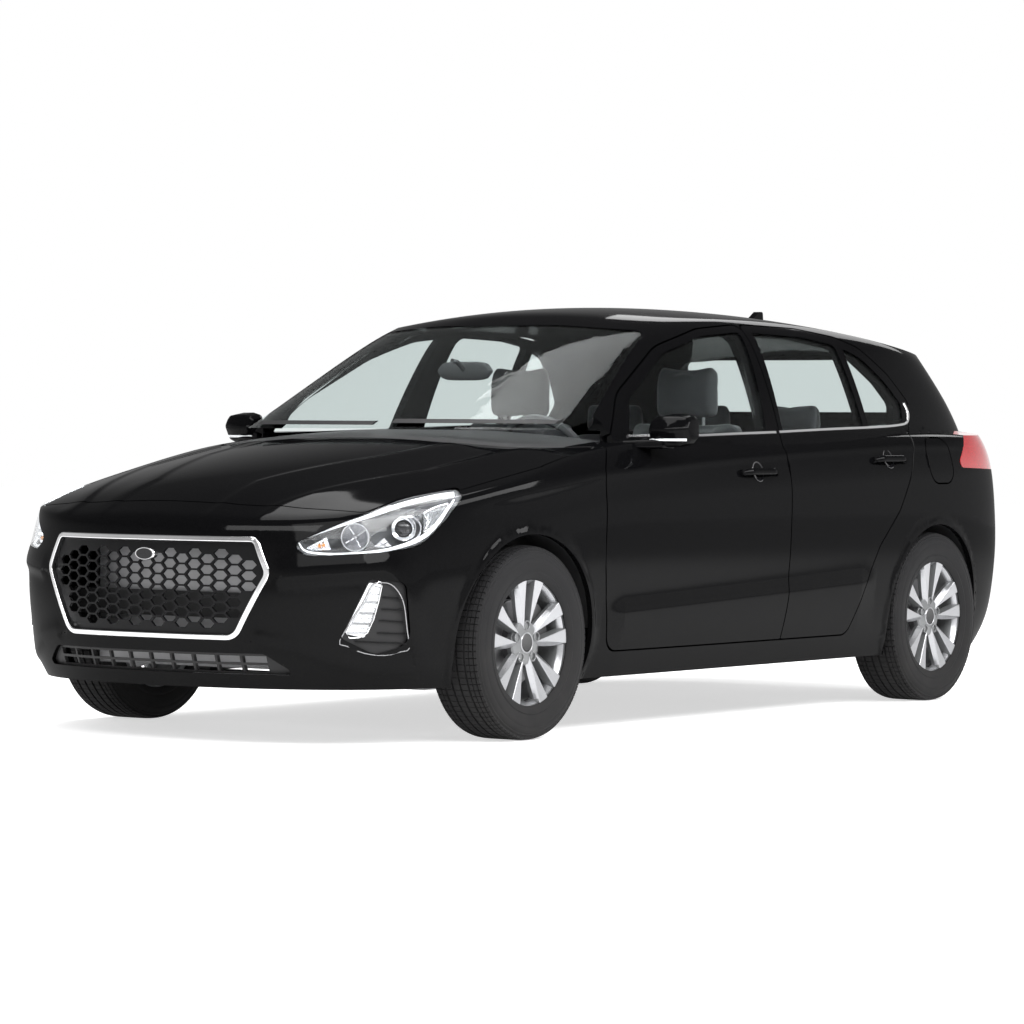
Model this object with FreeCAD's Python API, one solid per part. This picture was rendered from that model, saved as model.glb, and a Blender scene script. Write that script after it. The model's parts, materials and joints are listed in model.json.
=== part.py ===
import FreeCAD, Part
import math
import os

os.makedirs("parts", exist_ok=True)
V = FreeCAD.Vector

# Overall sizes in millimetres. X points forward, Y to the car's left, Z up.
# The origin is on the ground under the middle of the length and width.
LENGTH = 4340.0
WIDTH = 1795.0
HEIGHT = 1455.0
WHEELBASE = 2650.0
FRONT_OVERHANG = 905.0
TRACK = 1566.0
OVERRUN = 40.0
SEAT_CLEARANCE = 0.3

# Body panels
SKIN = 14.0
DOOR_DEPTH = 64.0
DOOR_FRAME_DEPTH = 34.0
SHUT_GAP = 6.0
SEAL_FLANGE = 34.0
FRAME_DEPTH = 105.0
PILLAR_DEPTH = 66.0
ROOF_DEPTH = 40.0
GLASS_THICKNESS = 5.0
GLASS_SINK = 3.0
LENS_THICKNESS = 5.0
GRILLE_PROUD = 4.0
SHUT_DRAFT_SHARE = 0.25

# Wheels and tyres
TYRE_RADIUS = 316.0
TYRE_WIDTH = 205.0
TREAD_WIDTH = 146.0
SHOULDER_RADIUS = 305.0
SHOULDER_WIDTH = 186.0
SIDEWALL_RADIUS = 262.0
BEAD_WIDTH = 176.0
RIM_RADIUS = 218.5
RIM_SEAT_RADIUS = 203.0
RIM_BARREL_RADIUS = 188.0
RIM_WIDTH = 184.0
RIM_FLANGE = 6.0
SPOKE_PAIRS = 5
SPOKE_ROOT_WIDTH = 20.0
SPOKE_TIP_WIDTH = 50.0
SPOKE_DEPTH = 30.0
SPOKE_FACE_SET = 74.0
SPOKE_ROOT_ANGLE = 20.0
SPOKE_TIP_ANGLE = 13.3
HUB_RADIUS = 76.0
CAP_RADIUS = 31.0
CAP_DEPTH = 8.0
LUG_COUNT = 5
LUG_CIRCLE = 114.3
LUG_HOLE_RADIUS = 10.0
DISC_RADIUS = 140.0
DISC_THICKNESS = 22.0
DISC_SET = 22.0
HAT_RADIUS = 72.0
STUB_RADIUS = 20.0
ARCH_FRONT_RADIUS = 352.0
ARCH_REAR_RADIUS = 346.0
ARCH_INNER_SPAN = 1000.0
LINER = 6.0
LINER_SET = 6.0
LINER_FOOT = 352.0

# Steering
STEER_AXIS_INSET = 25.0
CARRIER_RADIUS = 48.0
CARRIER_LENGTH = 66.0
BALL_REACH = 124.0
BALL_RADIUS = 18.0
KNUCKLE_THICKNESS = 34.0
CALIPER_ARC_RADIUS = 150.0
CALIPER_LENGTH = 120.0
CALIPER_WIDTH = 62.0
WHEEL_RIM_RADIUS = 182.0
WHEEL_RIM_SECTION = 15.0
STEER_BOSS_RADIUS = 62.0
STEER_BOSS_DEPTH = 46.0
STEER_TILT = 24.0
STEER_X = 455.0
STEER_Y = 370.0
STEER_Z = 878.0
COLUMN_RADIUS = 24.0
COLUMN_LENGTH = 230.0

# Floor, bulkhead and engine bay
FLOOR_Z = 196.0
FLOOR_PLATE = 16.0
BOOT_FLOOR_Z = 470.0
KICK_X = -1010.0
TUNNEL_HALF = 120.0
TUNNEL_HEIGHT = 190.0
BULKHEAD_X = 930.0
BULKHEAD_PLATE = 12.0
RAIL_Y = 430.0
RAIL_WIDTH = 58.0
RAIL_Z = 400.0
RAIL_HEIGHT = 80.0
RAIL_END_X = 1960.0
BEAM_THICKNESS = 34.0
BEAM_HALF = 560.0
ENGINE_LENGTH = 430.0
ENGINE_WIDTH = 720.0
ENGINE_HEIGHT = 440.0
ENGINE_X = 1440.0
ENGINE_Z = 290.0
RADIATOR_THICKNESS = 46.0
RADIATOR_HALF = 360.0
RADIATOR_HEIGHT = 400.0

# Around the plan outline from nose to tail: shares of half length and half width.
BODY_PLAN_SHARES = (
    (1.000, 0.00), (1.000, 0.20), (0.985, 0.40), (0.955, 0.60), (0.900, 0.78),
    (0.820, 0.90), (0.720, 0.96), (0.580, 0.985), (0.400, 0.995), (0.200, 1.00),
    (0.000, 1.00), (-0.200, 1.00), (-0.400, 1.00), (-0.600, 0.994), (-0.780, 0.978),
    (-0.900, 0.935), (-0.968, 0.82), (-0.992, 0.56), (-1.000, 0.26), (-1.000, 0.00),
)
# Height, half width, nose reach, tail reach, forward fall and nose corner tuck of each row.
BODY_ROW_SHARES = (
    (0.126, 0.930, 0.968, 0.945, 0.000, 0.000),
    (0.160, 0.952, 0.984, 0.965, 0.000, 0.000),
    (0.210, 0.972, 0.996, 0.988, 0.000, 0.005),
    (0.290, 0.984, 1.002, 0.999, 0.000, 0.010),
    (0.380, 1.000, 1.003, 1.000, 0.000, 0.020),
    (0.450, 1.000, 0.998, 0.998, 0.005, 0.045),
    (0.520, 1.000, 0.986, 0.990, 0.015, 0.080),
    (0.585, 0.994, 0.965, 0.980, 0.028, 0.110),
    (0.635, 0.965, 0.940, 0.972, 0.034, 0.120),
    (0.680, 0.910, 0.905, 0.964, 0.034, 0.120),
    (0.760, 0.800, 0.850, 0.938, 0.000, 0.120),
)
TUCK_START_SHARE = 0.45
# Bonnet and belt crown along the length: place, height and side fall.
DECK_SHARES = (
    (1.06, 0.440, 0.125), (1.00, 0.492, 0.125), (0.93, 0.545, 0.115), (0.84, 0.590, 0.105),
    (0.70, 0.632, 0.092), (0.56, 0.663, 0.078), (0.44, 0.684, 0.060), (0.30, 0.695, 0.035),
    (0.00, 0.695, 0.020), (-0.40, 0.700, 0.020), (-0.80, 0.715, 0.030), (-1.06, 0.715, 0.050),
)
# Around the cabin from the screen to the rear window.
CABIN_PLAN_SHARES = (
    (0.000, 0.00), (0.002, 0.25), (0.014, 0.50), (0.040, 0.72), (0.085, 0.875), (0.170, 0.955),
    (0.300, 0.990), (0.450, 1.00), (0.600, 1.00), (0.740, 0.985), (0.860, 0.945), (0.935, 0.870),
    (0.975, 0.73), (0.992, 0.48), (1.000, 0.24), (1.000, 0.00),
)
# Height, screen place, rear window place and half width of each cabin row.
CABIN_ROW_SHARES = (
    (0.600, 0.610, -0.985, 0.965),
    (0.660, 0.515, -0.965, 0.945),
    (0.740, 0.395, -0.938, 0.905),
    (0.820, 0.285, -0.893, 0.855),
    (0.895, 0.185, -0.850, 0.800),
    (0.950, 0.105, -0.828, 0.740),
    (0.985, 0.040, -0.815, 0.650),
    (1.060, -0.060, -0.805, 0.500),
)
ROOF_SHARES = (
    (0.30, 0.900, 0.08), (0.20, 0.925, 0.08), (0.10, 0.962, 0.08), (0.00, 0.987, 0.08),
    (-0.12, 1.001, 0.08), (-0.28, 1.003, 0.08), (-0.45, 0.993, 0.08), (-0.62, 0.971, 0.085),
    (-0.78, 0.940, 0.09), (-0.90, 0.908, 0.095), (-1.00, 0.875, 0.10),
)
CROWN_COLUMN_SHARES = (-1.1, -0.85, -0.62, -0.36, -0.12, 0.12, 0.36, 0.62, 0.85, 1.1)

# Side outlines: place along, height, and how far out the skin is there.
FRONT_DOOR_SHARES = (
    (0.376, 0.186, 0.96), (0.397, 0.396, 0.99), (0.388, 0.600, 0.97), (0.352, 0.655, 0.91),
    (0.300, 0.682, 0.86), (0.232, 0.781, 0.80), (0.084, 0.898, 0.74), (-0.039, 0.941, 0.72),
    (-0.163, 0.954, 0.71), (-0.151, 0.687, 0.93), (-0.134, 0.186, 0.96),
)
REAR_DOOR_SHARES = (
    (-0.134, 0.186, 0.96), (-0.151, 0.687, 0.93), (-0.163, 0.954, 0.71), (-0.330, 0.949, 0.73),
    (-0.440, 0.931, 0.75), (-0.505, 0.905, 0.77), (-0.575, 0.838, 0.82), (-0.622, 0.765, 0.87),
    (-0.600, 0.712, 0.91), (-0.552, 0.600, 0.98), (-0.501, 0.494, 0.99), (-0.433, 0.407, 0.99),
    (-0.383, 0.296, 0.98), (-0.345, 0.186, 0.96),
)
SPLIT_SHARES = ((-0.128, 0.0), (-0.134, 0.186), (-0.151, 0.687), (-0.163, 0.954), (-0.170, 1.110))
FRONT_DOOR_RADII = (60.0, 200.0, 60.0, 40.0, 60.0, 300.0, 300.0, 200.0, 30.0, 150.0, 6.0)
REAR_DOOR_RADII = (6.0, 150.0, 30.0, 200.0, 120.0, 120.0, 120.0, 40.0, 60.0, 120.0, 120.0, 120.0,
                   120.0, 60.0)
FRONT_WINDOW_SHARES = (
    (0.262, 0.679), (0.214, 0.765), (0.075, 0.878), (-0.038, 0.921), (-0.148, 0.934),
    (-0.112, 0.690),
)
FRONT_WINDOW_RADII = (12.0, 60.0, 300.0, 300.0, 14.0, 14.0)
REAR_WINDOW_SHARES = (
    (-0.162, 0.692), (-0.184, 0.933), (-0.330, 0.927), (-0.425, 0.910), (-0.430, 0.702),
)
REAR_WINDOW_RADII = (14.0, 14.0, 300.0, 24.0, 14.0)
QUARTER_WINDOW_SHARES = (
    (-0.448, 0.704), (-0.446, 0.903), (-0.497, 0.880), (-0.553, 0.820), (-0.589, 0.763),
    (-0.577, 0.716),
)
QUARTER_WINDOW_RADII = (12.0, 16.0, 100.0, 120.0, 26.0, 30.0)

# Front and rear views: shares of half width and height.
SCREEN_SHARES = (
    (-0.80, 0.691), (0.80, 0.691), (0.630, 0.930), (0.300, 0.944), (-0.300, 0.944), (-0.630, 0.930),
)
SCREEN_RADII = (40.0, 40.0, 60.0, 600.0, 600.0, 60.0)
TAIL_WINDOW_SHARES = ((-0.61, 0.745), (0.61, 0.745), (0.56, 0.885), (-0.56, 0.885))
TAIL_WINDOW_RADII = (70.0, 70.0, 50.0, 50.0)
TAILGATE_REAR_SHARES = (
    (-0.60, 0.460), (0.60, 0.460), (0.73, 0.580), (0.73, 0.700), (0.655, 0.955), (0.60, 1.060),
    (-0.60, 1.060), (-0.655, 0.955), (-0.73, 0.700), (-0.73, 0.580),
)
# The spoiler from above, as shares of half length and half width.
SPOILER_SHARES = (
    (-0.700, -0.60), (-0.700, 0.60), (-0.800, 0.60), (-0.835, 0.52), (-0.868, 0.20), (-0.868, -0.20),
    (-0.835, -0.52), (-0.800, -0.60),
)
SPOILER_RADII = (10.0, 10.0, 40.0, 150.0, 300.0, 300.0, 150.0, 40.0)
SPOILER_THICKNESS = 26.0
PLATE_SHARES = ((-0.31, 0.520), (0.31, 0.520), (0.31, 0.612), (-0.31, 0.612))
PLATE_RADII = (14.0, 14.0, 14.0, 14.0)
PLATE_DEPTH = 12.0
TAILGATE_REAR_RADII = (60.0, 60.0, 60.0, 60.0, 60.0, 10.0, 10.0, 60.0, 60.0, 60.0)
TAILGATE_SIDE_SHARES = (
    (-0.790, 1.060), (-0.800, 0.900), (-0.850, 0.600), (-0.880, 0.440), (-1.100, 0.440),
    (-1.100, 1.060),
)
GRILLE_SHARES = (
    (-0.455, 0.457), (0.455, 0.457), (0.512, 0.378), (0.385, 0.232), (-0.385, 0.232), (-0.512, 0.378),
)
GRILLE_RADII = (34.0, 34.0, 46.0, 60.0, 60.0, 46.0)
INTAKE_SHARES = ((-0.575, 0.158), (0.575, 0.158), (0.475, 0.204), (-0.475, 0.204))
INTAKE_RADII = (12.0, 12.0, 30.0, 30.0)
# Bonnet from above: place along, half width and the skin's height there.
BONNET_SHARES = (
    (0.943, 0.10, 0.527), (0.938, 0.30, 0.523), (0.912, 0.53, 0.516), (0.872, 0.745, 0.508),
    (0.803, 0.782, 0.536), (0.708, 0.862, 0.552), (0.615, 0.888, 0.583), (0.515, 0.910, 0.609),
    (0.352, 0.880, 0.655), (0.400, 0.800, 0.670), (0.455, 0.640, 0.682), (0.490, 0.400, 0.685),
    (0.502, 0.15, 0.685),
)
BONNET_RADII = (300.0, 300.0, 300.0, 40.0, 100.0, 200.0, 400.0, 300.0, 20.0, 120.0, 200.0, 300.0, 300.0)
# Lamps: places on the skin as shares of half length, half width and height.
HEADLAMP_SHARES = (
    (0.952, 0.573, 0.440), (0.942, 0.622, 0.416), (0.872, 0.812, 0.424), (0.817, 0.887, 0.437),
    (0.774, 0.919, 0.492), (0.725, 0.912, 0.541), (0.705, 0.850, 0.560), (0.803, 0.775, 0.536),
    (0.901, 0.731, 0.494),
)
HEADLAMP_RADII = (14.0, 14.0, 60.0, 60.0, 60.0, 14.0, 14.0, 150.0, 100.0)
FOG_SHARES = (
    (0.909, 0.708, 0.240), (0.884, 0.790, 0.367), (0.838, 0.862, 0.358), (0.822, 0.855, 0.223),
    (0.868, 0.785, 0.203),
)
FOG_RADII = (14.0, 14.0, 24.0, 60.0, 40.0)
DAY_LAMP_SHARES = (
    (0.906, 0.718, 0.250), (0.885, 0.789, 0.360), (0.868, 0.820, 0.355), (0.885, 0.770, 0.240),
)
DAY_LAMP_RADII = (8.0, 8.0, 8.0, 8.0)
TAIL_LAMP_SHARES = ((-0.717, 0.601), (-0.800, 0.696), (-1.080, 0.690), (-1.080, 0.588))
TAIL_LAMP_RADII = (20.0, 60.0, 10.0, 10.0)
FRONT_SIGHT = 36.0

BUMPER_SIDE_SHARES = (
    (0.680, 0.405), (0.795, 0.452), (0.860, 0.530), (1.100, 0.530), (1.100, 0.100), (0.700, 0.100),
)
REAR_BUMPER_SHARES = ((-0.770, 0.445), (-1.100, 0.475), (-1.100, 0.100), (-0.740, 0.100))
FLAP_SHARES = ((-0.703, 0.560), (-0.615, 0.560), (-0.615, 0.677), (-0.703, 0.677))
FLAP_RADII = (62.0, 62.0, 62.0, 62.0)
FLAP_THICKNESS = 12.0
FLAP_POCKET = 48.0
HINGE_PIN_RADIUS = 3.3
HINGE_PIN_LENGTH = 46.0
TAILGATE_HINGE_Z = 1355.5


def out(name, shape):
    """Write one named piece."""
    solids = [s for s in shape.Solids if s.Volume > SKIN ** 3 / 8]
    Part.makeCompound(solids).exportStep("parts/%s.step" % name)


def mirrored(shape):
    return shape.mirror(V(0, 0, 0), V(0, 1, 0))


def both_sides(shape):
    return Part.makeCompound([shape, mirrored(shape)])


def box(x0, x1, y0, y1, z0, z1):
    return Part.makeBox(x1 - x0, y1 - y0, z1 - z0, V(x0, y0, z0))


def front_axle():
    return LENGTH / 2 - FRONT_OVERHANG


def rear_axle():
    return front_axle() - WHEELBASE


def net_solid(rows):
    """Solid inside smooth rings of control points, with flat first and last rings."""
    rings, around = len(rows), len(rows[0])
    poles = [[rows[j][i] for j in range(rings)] for i in range(around)]
    surface = Part.BSplineSurface()
    surface.buildFromPolesMultsKnots(
        poles, [1] * (around + 1), [4] + [1] * (rings - 4) + [4],
        list(range(around + 1)), list(range(rings - 2)), True, False, 3, 3)
    side = surface.toShape()
    lids = [Part.Face(Part.Wire([e])) for e in side.Edges
            if e.BoundBox.ZLength < e.BoundBox.XLength / 1000]
    shell = Part.Shell([side] + lids)
    shell.sewShape()
    solid = Part.Solid(shell)
    if solid.Volume < 0:
        solid.reverse()
    return solid


def crowned(stations, sink, depth):
    """Solid under a crowned surface given by stations along the length."""
    poles = [[V(x * LENGTH / 2, c * WIDTH / 2, (z - fall * c * c) * HEIGHT - sink)
              for c in CROWN_COLUMN_SHARES] for x, z, fall in stations]
    along, across = len(poles), len(CROWN_COLUMN_SHARES)
    surface = Part.BSplineSurface()
    surface.buildFromPolesMultsKnots(
        poles, [4] + [1] * (along - 4) + [4], [4] + [1] * (across - 4) + [4],
        list(range(along - 2)), list(range(across - 2)), False, False, 3, 3)
    return surface.toShape().extrude(V(0, 0, -depth))


def whole_ring(half):
    return half + [V(p.x, -p.y, p.z) for p in half[-2:0:-1]]


def body_net(inset):
    rows = []
    for height, wide, nose, tail, fall, tuck in BODY_ROW_SHARES:
        ring = []
        for along, across in BODY_PLAN_SHARES:
            reach = nose if along > 0 else tail
            ahead = max(0.0, (along - TUCK_START_SHARE) / (1 - TUCK_START_SHARE))
            x = along * (LENGTH / 2 - inset) * (1 - (1 - reach) * along ** 2)
            y = across * (1 - tuck * ahead ** 2) * (WIDTH / 2 * wide - inset)
            ring.append(V(x, y, HEIGHT * (height - fall * along)))
        rows.append(whole_ring(ring))
    return net_solid(rows)


def cabin_net(inset):
    rows = []
    for height, screen, tail, wide in CABIN_ROW_SHARES:
        front = screen * LENGTH / 2 - inset
        back = tail * LENGTH / 2 + inset
        ring = [V(front + (back - front) * s, across * (wide * WIDTH / 2 - inset), height * HEIGHT)
                for s, across in CABIN_PLAN_SHARES]
        rows.append(whole_ring(ring))
    return net_solid(rows)


HULLS = {}


def hull(body_inset, cabin_inset=None, top_inset=None):
    """The car's outer form, or the same form set in by the wall of each part."""
    cabin_inset = body_inset if cabin_inset is None else cabin_inset
    top_inset = body_inset if top_inset is None else top_inset
    key = (body_inset, cabin_inset, top_inset)
    if key not in HULLS:
        lower = body_net(body_inset).common(crowned(DECK_SHARES, top_inset, HEIGHT))
        upper = cabin_net(cabin_inset).common(crowned(ROOF_SHARES, top_inset, HEIGHT))
        HULLS[key] = lower.fuse(upper)
    return HULLS[key]


def corner_wire(points, radii, place):
    """Closed wire through 2D corners, each rounded by its radius."""
    n = len(points)
    trims = []
    for i in range(n):
        a, b, c = points[i - 1], points[i], points[(i + 1) % n]
        u = V(a[0] - b[0], a[1] - b[1], 0)
        w = V(c[0] - b[0], c[1] - b[1], 0)
        angle = u.getAngle(w)
        limit = min(u.Length, w.Length) * 0.45
        cut = radii[i] / math.tan(angle / 2) if angle < math.pi * 0.995 else limit
        cut = min(cut, limit)
        u.normalize()
        w.normalize()
        p = V(b[0], b[1], 0)
        start, end = p + u * cut, p + w * cut
        half = V(u.x + w.x, u.y + w.y, 0)
        radius = cut * math.tan(angle / 2)
        if half.Length < 1e-3:
            middle = p
        else:
            half.normalize()
            middle = p + half * (radius / math.sin(angle / 2) - radius)
        trims.append((start, middle, end))
    edges = []
    for i in range(n):
        start, middle, end = trims[i]
        edges.append(Part.Arc(place(start), place(middle), place(end)).toShape())
        following = trims[(i + 1) % n][0]
        edges.append(Part.makeLine(place(end), place(following)))
    return Part.Wire(edges)


def grown(points, amounts):
    """2D corners moved outwards, each by its own amount."""
    n = len(points)
    area = sum(points[i - 1][0] * points[i][1] - points[i][0] * points[i - 1][1] for i in range(n))
    turn = 1 if area > 0 else -1
    moved = []
    for i in range(n):
        a, b, c = points[i - 1], points[i], points[(i + 1) % n]
        d1 = V(b[0] - a[0], b[1] - a[1], 0).normalize()
        d2 = V(c[0] - b[0], c[1] - b[1], 0).normalize()
        n1 = V(d1.y, -d1.x, 0) * turn
        n2 = V(d2.y, -d2.x, 0) * turn
        mitre = (n1 + n2) * (1 / (1 + n1.dot(n2)))
        moved.append((b[0] + mitre.x * amounts[i], b[1] + mitre.y * amounts[i]))
    return moved


def prism(points, radii, place_low, place_high, grow=0.0):
    """Straight prism between two places of one 2D outline."""
    ring = grown(points, [grow] * len(points))
    fit = [max(r + grow, SHUT_GAP / 2) for r in radii]
    low = corner_wire(ring, fit, place_low)
    high = corner_wire(ring, fit, place_high)
    return Part.makeLoft([low, high], True, True)


def side_prism(shares, radii, grow=0.0, inner=0.0):
    points = [(s[0] * LENGTH / 2, s[1] * HEIGHT) for s in shares]
    return prism(points, radii, lambda p: V(p.x, inner, p.y),
                 lambda p: V(p.x, WIDTH / 2 + OVERRUN, p.y), grow)


def end_prism(shares, radii, x0, x1, grow=0.0):
    points = [(s[0] * WIDTH / 2, s[1] * HEIGHT) for s in shares]
    return prism(points, radii, lambda p: V(x0, p.x, p.y), lambda p: V(x1, p.x, p.y), grow)


def sight_prism(shares, radii, grow=0.0):
    """Prism along a level line that looks at the front corner of the car."""
    a = math.radians(FRONT_SIGHT)
    ahead = V(math.cos(a), math.sin(a), 0)
    aside = V(-math.sin(a), math.cos(a), 0)
    spots = [V(x * LENGTH / 2, y * WIDTH / 2, z * HEIGHT) for x, y, z in shares]
    points = [(s.dot(aside), s.z) for s in spots]
    near = min(s.dot(ahead) for s in spots) - WIDTH / 4
    far = max(s.dot(ahead) for s in spots) + WIDTH / 4
    return prism(points, radii, lambda p: aside * p.x + ahead * near + V(0, 0, p.y),
                 lambda p: aside * p.x + ahead * far + V(0, 0, p.y), grow)


def drafted_side(shares, radii, grow, inner):
    """Side prism whose edges close inwards, true to the outline at the skin."""
    points = [(s[0] * LENGTH / 2, s[1] * HEIGHT) for s in shares]
    wires = []
    for level in (inner, WIDTH / 2 + OVERRUN):
        amounts = [grow + (level - s[2] * WIDTH / 2) * SHUT_DRAFT_SHARE for s in shares]
        wires.append(corner_wire(grown(points, amounts), radii, lambda p, y=level: V(p.x, y, p.y)))
    return Part.makeLoft(wires, True, True)


def ahead_of_split(shift):
    """Room ahead of the line between the doors, the line moved ahead by a shift."""
    line = [V(x * LENGTH / 2 + shift, 0, z * HEIGHT) for x, z in SPLIT_SHARES]
    ring = line + [V(LENGTH, 0, line[-1].z), V(LENGTH, 0, 0)]
    return Part.Face(Part.makePolygon(ring + ring[:1])).extrude(V(0, WIDTH, 0))


def drafted_top(shares, radii, grow, low, high):
    """Plan prism, mirrored about the middle, whose edges close downwards."""
    half = [(s[0] * LENGTH / 2, s[1] * WIDTH / 2) for s in shares]
    points = half + [(x, -y) for x, y in reversed(half)]
    heights = [s[2] * HEIGHT for s in shares]
    heights = heights + heights[::-1]
    rounds = list(radii) + list(radii)[::-1]
    wires = []
    for level in (low, high):
        amounts = [grow + (level - h) * BONNET_DRAFT_SHARE for h in heights]
        wires.append(corner_wire(grown(points, amounts), rounds, lambda p, z=level: V(p.x, p.y, z)))
    return Part.makeLoft(wires, True, True)


BONNET_DRAFT_SHARE = 0.36


def wheel_drum(axle, radius, y0, y1):
    return Part.makeCylinder(radius, y1 - y0, V(axle, y0, TYRE_RADIUS), V(0, 1, 0))


def arch_cut(grow=0.0):
    """Room of the four wheels."""
    inner = ARCH_INNER_SPAN / 2 - grow
    drums = []
    for axle, radius in ((front_axle(), ARCH_FRONT_RADIUS), (rear_axle(), ARCH_REAR_RADIUS)):
        drums.append(wheel_drum(axle, radius + grow, inner, WIDTH / 2 + OVERRUN))
    drums += [mirrored(d) for d in drums]
    return Part.makeCompound(drums)


OUTER = hull(0.0)
SKIN_CORE = hull(SKIN)
DOOR_CORE = hull(DOOR_DEPTH, DOOR_FRAME_DEPTH, DOOR_FRAME_DEPTH)
REBATE_CORE = hull(DOOR_DEPTH + SHUT_GAP, DOOR_FRAME_DEPTH + SHUT_GAP, DOOR_FRAME_DEPTH + SHUT_GAP)
FRAME_CORE = hull(FRAME_DEPTH, PILLAR_DEPTH, ROOF_DEPTH)
CABIN_ROOM = hull(FRAME_DEPTH + SEAT_CLEARANCE, PILLAR_DEPTH + SEAT_CLEARANCE, ROOF_DEPTH + SEAT_CLEARANCE)
LENS_CORE = hull(LENS_THICKNESS)
LAMP_CORE = hull(LENS_THICKNESS + SHUT_GAP)
GLASS_SHELL = cabin_net(GLASS_SINK).cut(cabin_net(GLASS_SINK + GLASS_THICKNESS))
THIN = OUTER.cut(SKIN_CORE)

BONNET_LOW = HEIGHT * 0.40
BONNET_HIGH = HEIGHT * 0.80
BONNET_CUT = drafted_top(BONNET_SHARES, BONNET_RADII, SHUT_GAP / 2, BONNET_LOW, BONNET_HIGH)
HEADLAMP_CUT = both_sides(sight_prism(HEADLAMP_SHARES, HEADLAMP_RADII, SEAT_CLEARANCE))
FRONT_REGION = box(front_axle(), LENGTH, -WIDTH, WIDTH, 0, HEIGHT)
BUMPER_REGION = side_prism(BUMPER_SIDE_SHARES, [SHUT_GAP] * 6, 0.0, -WIDTH / 2 - OVERRUN)
SCREEN_CUT = end_prism(SCREEN_SHARES, SCREEN_RADII, 0.0, LENGTH / 2)
ROOF_HALF = WIDTH * 0.33
COWL_HALF = WIDTH * 0.403
COWL_TOP = HEIGHT * 0.69
TAIL_LAMP_CUT = both_sides(side_prism(TAIL_LAMP_SHARES, TAIL_LAMP_RADII, 0.0, WIDTH * 0.10))


def tailgate_form(grow):
    rear = end_prism(TAILGATE_REAR_SHARES, TAILGATE_REAR_RADII, -LENGTH / 2 - OVERRUN, -LENGTH * 0.35, grow)
    points = [(x * LENGTH / 2, z * HEIGHT) for x, z in TAILGATE_SIDE_SHARES]
    radii = [OVERRUN] * len(points)
    side = prism(points, radii, lambda p: V(p.x, -WIDTH, p.y), lambda p: V(p.x, WIDTH, p.y), grow)
    return rear.common(side)


def skin_point(x, y, z, along):
    """Where a line through a point meets the outer skin, furthest out along it."""
    reach = along * WIDTH
    start = V(x, y, z)
    hits = Part.makeLine(start, start + reach).common(OUTER)
    return max((v.Point for v in hits.Vertexes), key=lambda p: p.dot(along))


def flap_pin(radius):
    """Hinge pin at the front edge of the fuel flap, along the skin."""
    x = FLAP_SHARES[1][0] * LENGTH / 2
    low = FLAP_SHARES[1][1] * HEIGHT + FLAP_RADII[0]
    high = FLAP_SHARES[2][1] * HEIGHT - FLAP_RADII[0]
    start = skin_point(x, WIDTH / 4, low, V(0, 1, 0))
    end = skin_point(x, WIDTH / 4, high, V(0, 1, 0))
    return Part.makeCylinder(radius, (end - start).Length, start, end - start)


def tailgate_pins(radius):
    """Hinge pins at the front edge of the tailgate, level with the skin."""
    top, bottom = TAILGATE_SIDE_SHARES[0], TAILGATE_SIDE_SHARES[1]
    share = (top[1] - TAILGATE_HINGE_Z / HEIGHT) / (top[1] - bottom[1])
    x = (top[0] + (bottom[0] - top[0]) * share) * LENGTH / 2
    pin = Part.makeCylinder(radius, HINGE_PIN_LENGTH, V(x, HINGE_PIN_LENGTH, TAILGATE_HINGE_Z), V(0, 1, 0))
    return both_sides(pin)


def fender_edge_x():
    return FRONT_DOOR_SHARES[1][0] * LENGTH / 2


def build_bonnet():
    form = drafted_top(BONNET_SHARES, BONNET_RADII, -SHUT_GAP / 2, BONNET_LOW, BONNET_HIGH)
    lamps = both_sides(sight_prism(HEADLAMP_SHARES, HEADLAMP_RADII, SHUT_GAP))
    out("bonnet", largest(THIN.common(form).cut(lamps).cut(cabin_net(0.0))))


def build_front_bumper():
    shell = THIN.common(BUMPER_REGION).cut(BONNET_CUT).cut(HEADLAMP_CUT).cut(arch_cut())
    front = LENGTH / 2
    shell = shell.cut(end_prism(GRILLE_SHARES, GRILLE_RADII, front * 0.8, front + OVERRUN))
    shell = shell.cut(end_prism(INTAKE_SHARES, INTAKE_RADII, front * 0.8, front + OVERRUN))
    shell = shell.cut(both_sides(sight_prism(FOG_SHARES, FOG_RADII)))
    out("front_bumper", shell)


def build_front_fenders():
    side = box(fender_edge_x(), LENGTH / 2, WIDTH * 0.25, WIDTH, 0, HEIGHT)
    shell = THIN.common(side).cut(BUMPER_REGION).cut(BONNET_CUT).cut(HEADLAMP_CUT).cut(arch_cut())
    shell = shell.cut(box(0, LENGTH, 0, WIDTH, TYRE_RADIUS - OVERRUN, HEIGHT).common(
        box(LENGTH * 0.4, LENGTH, 0, WIDTH * 0.35, 0, HEIGHT)))
    out("front_fenders", both_sides(largest(shell)))


def largest(shape):
    return max(shape.Solids, key=lambda s: s.Volume)


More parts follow.
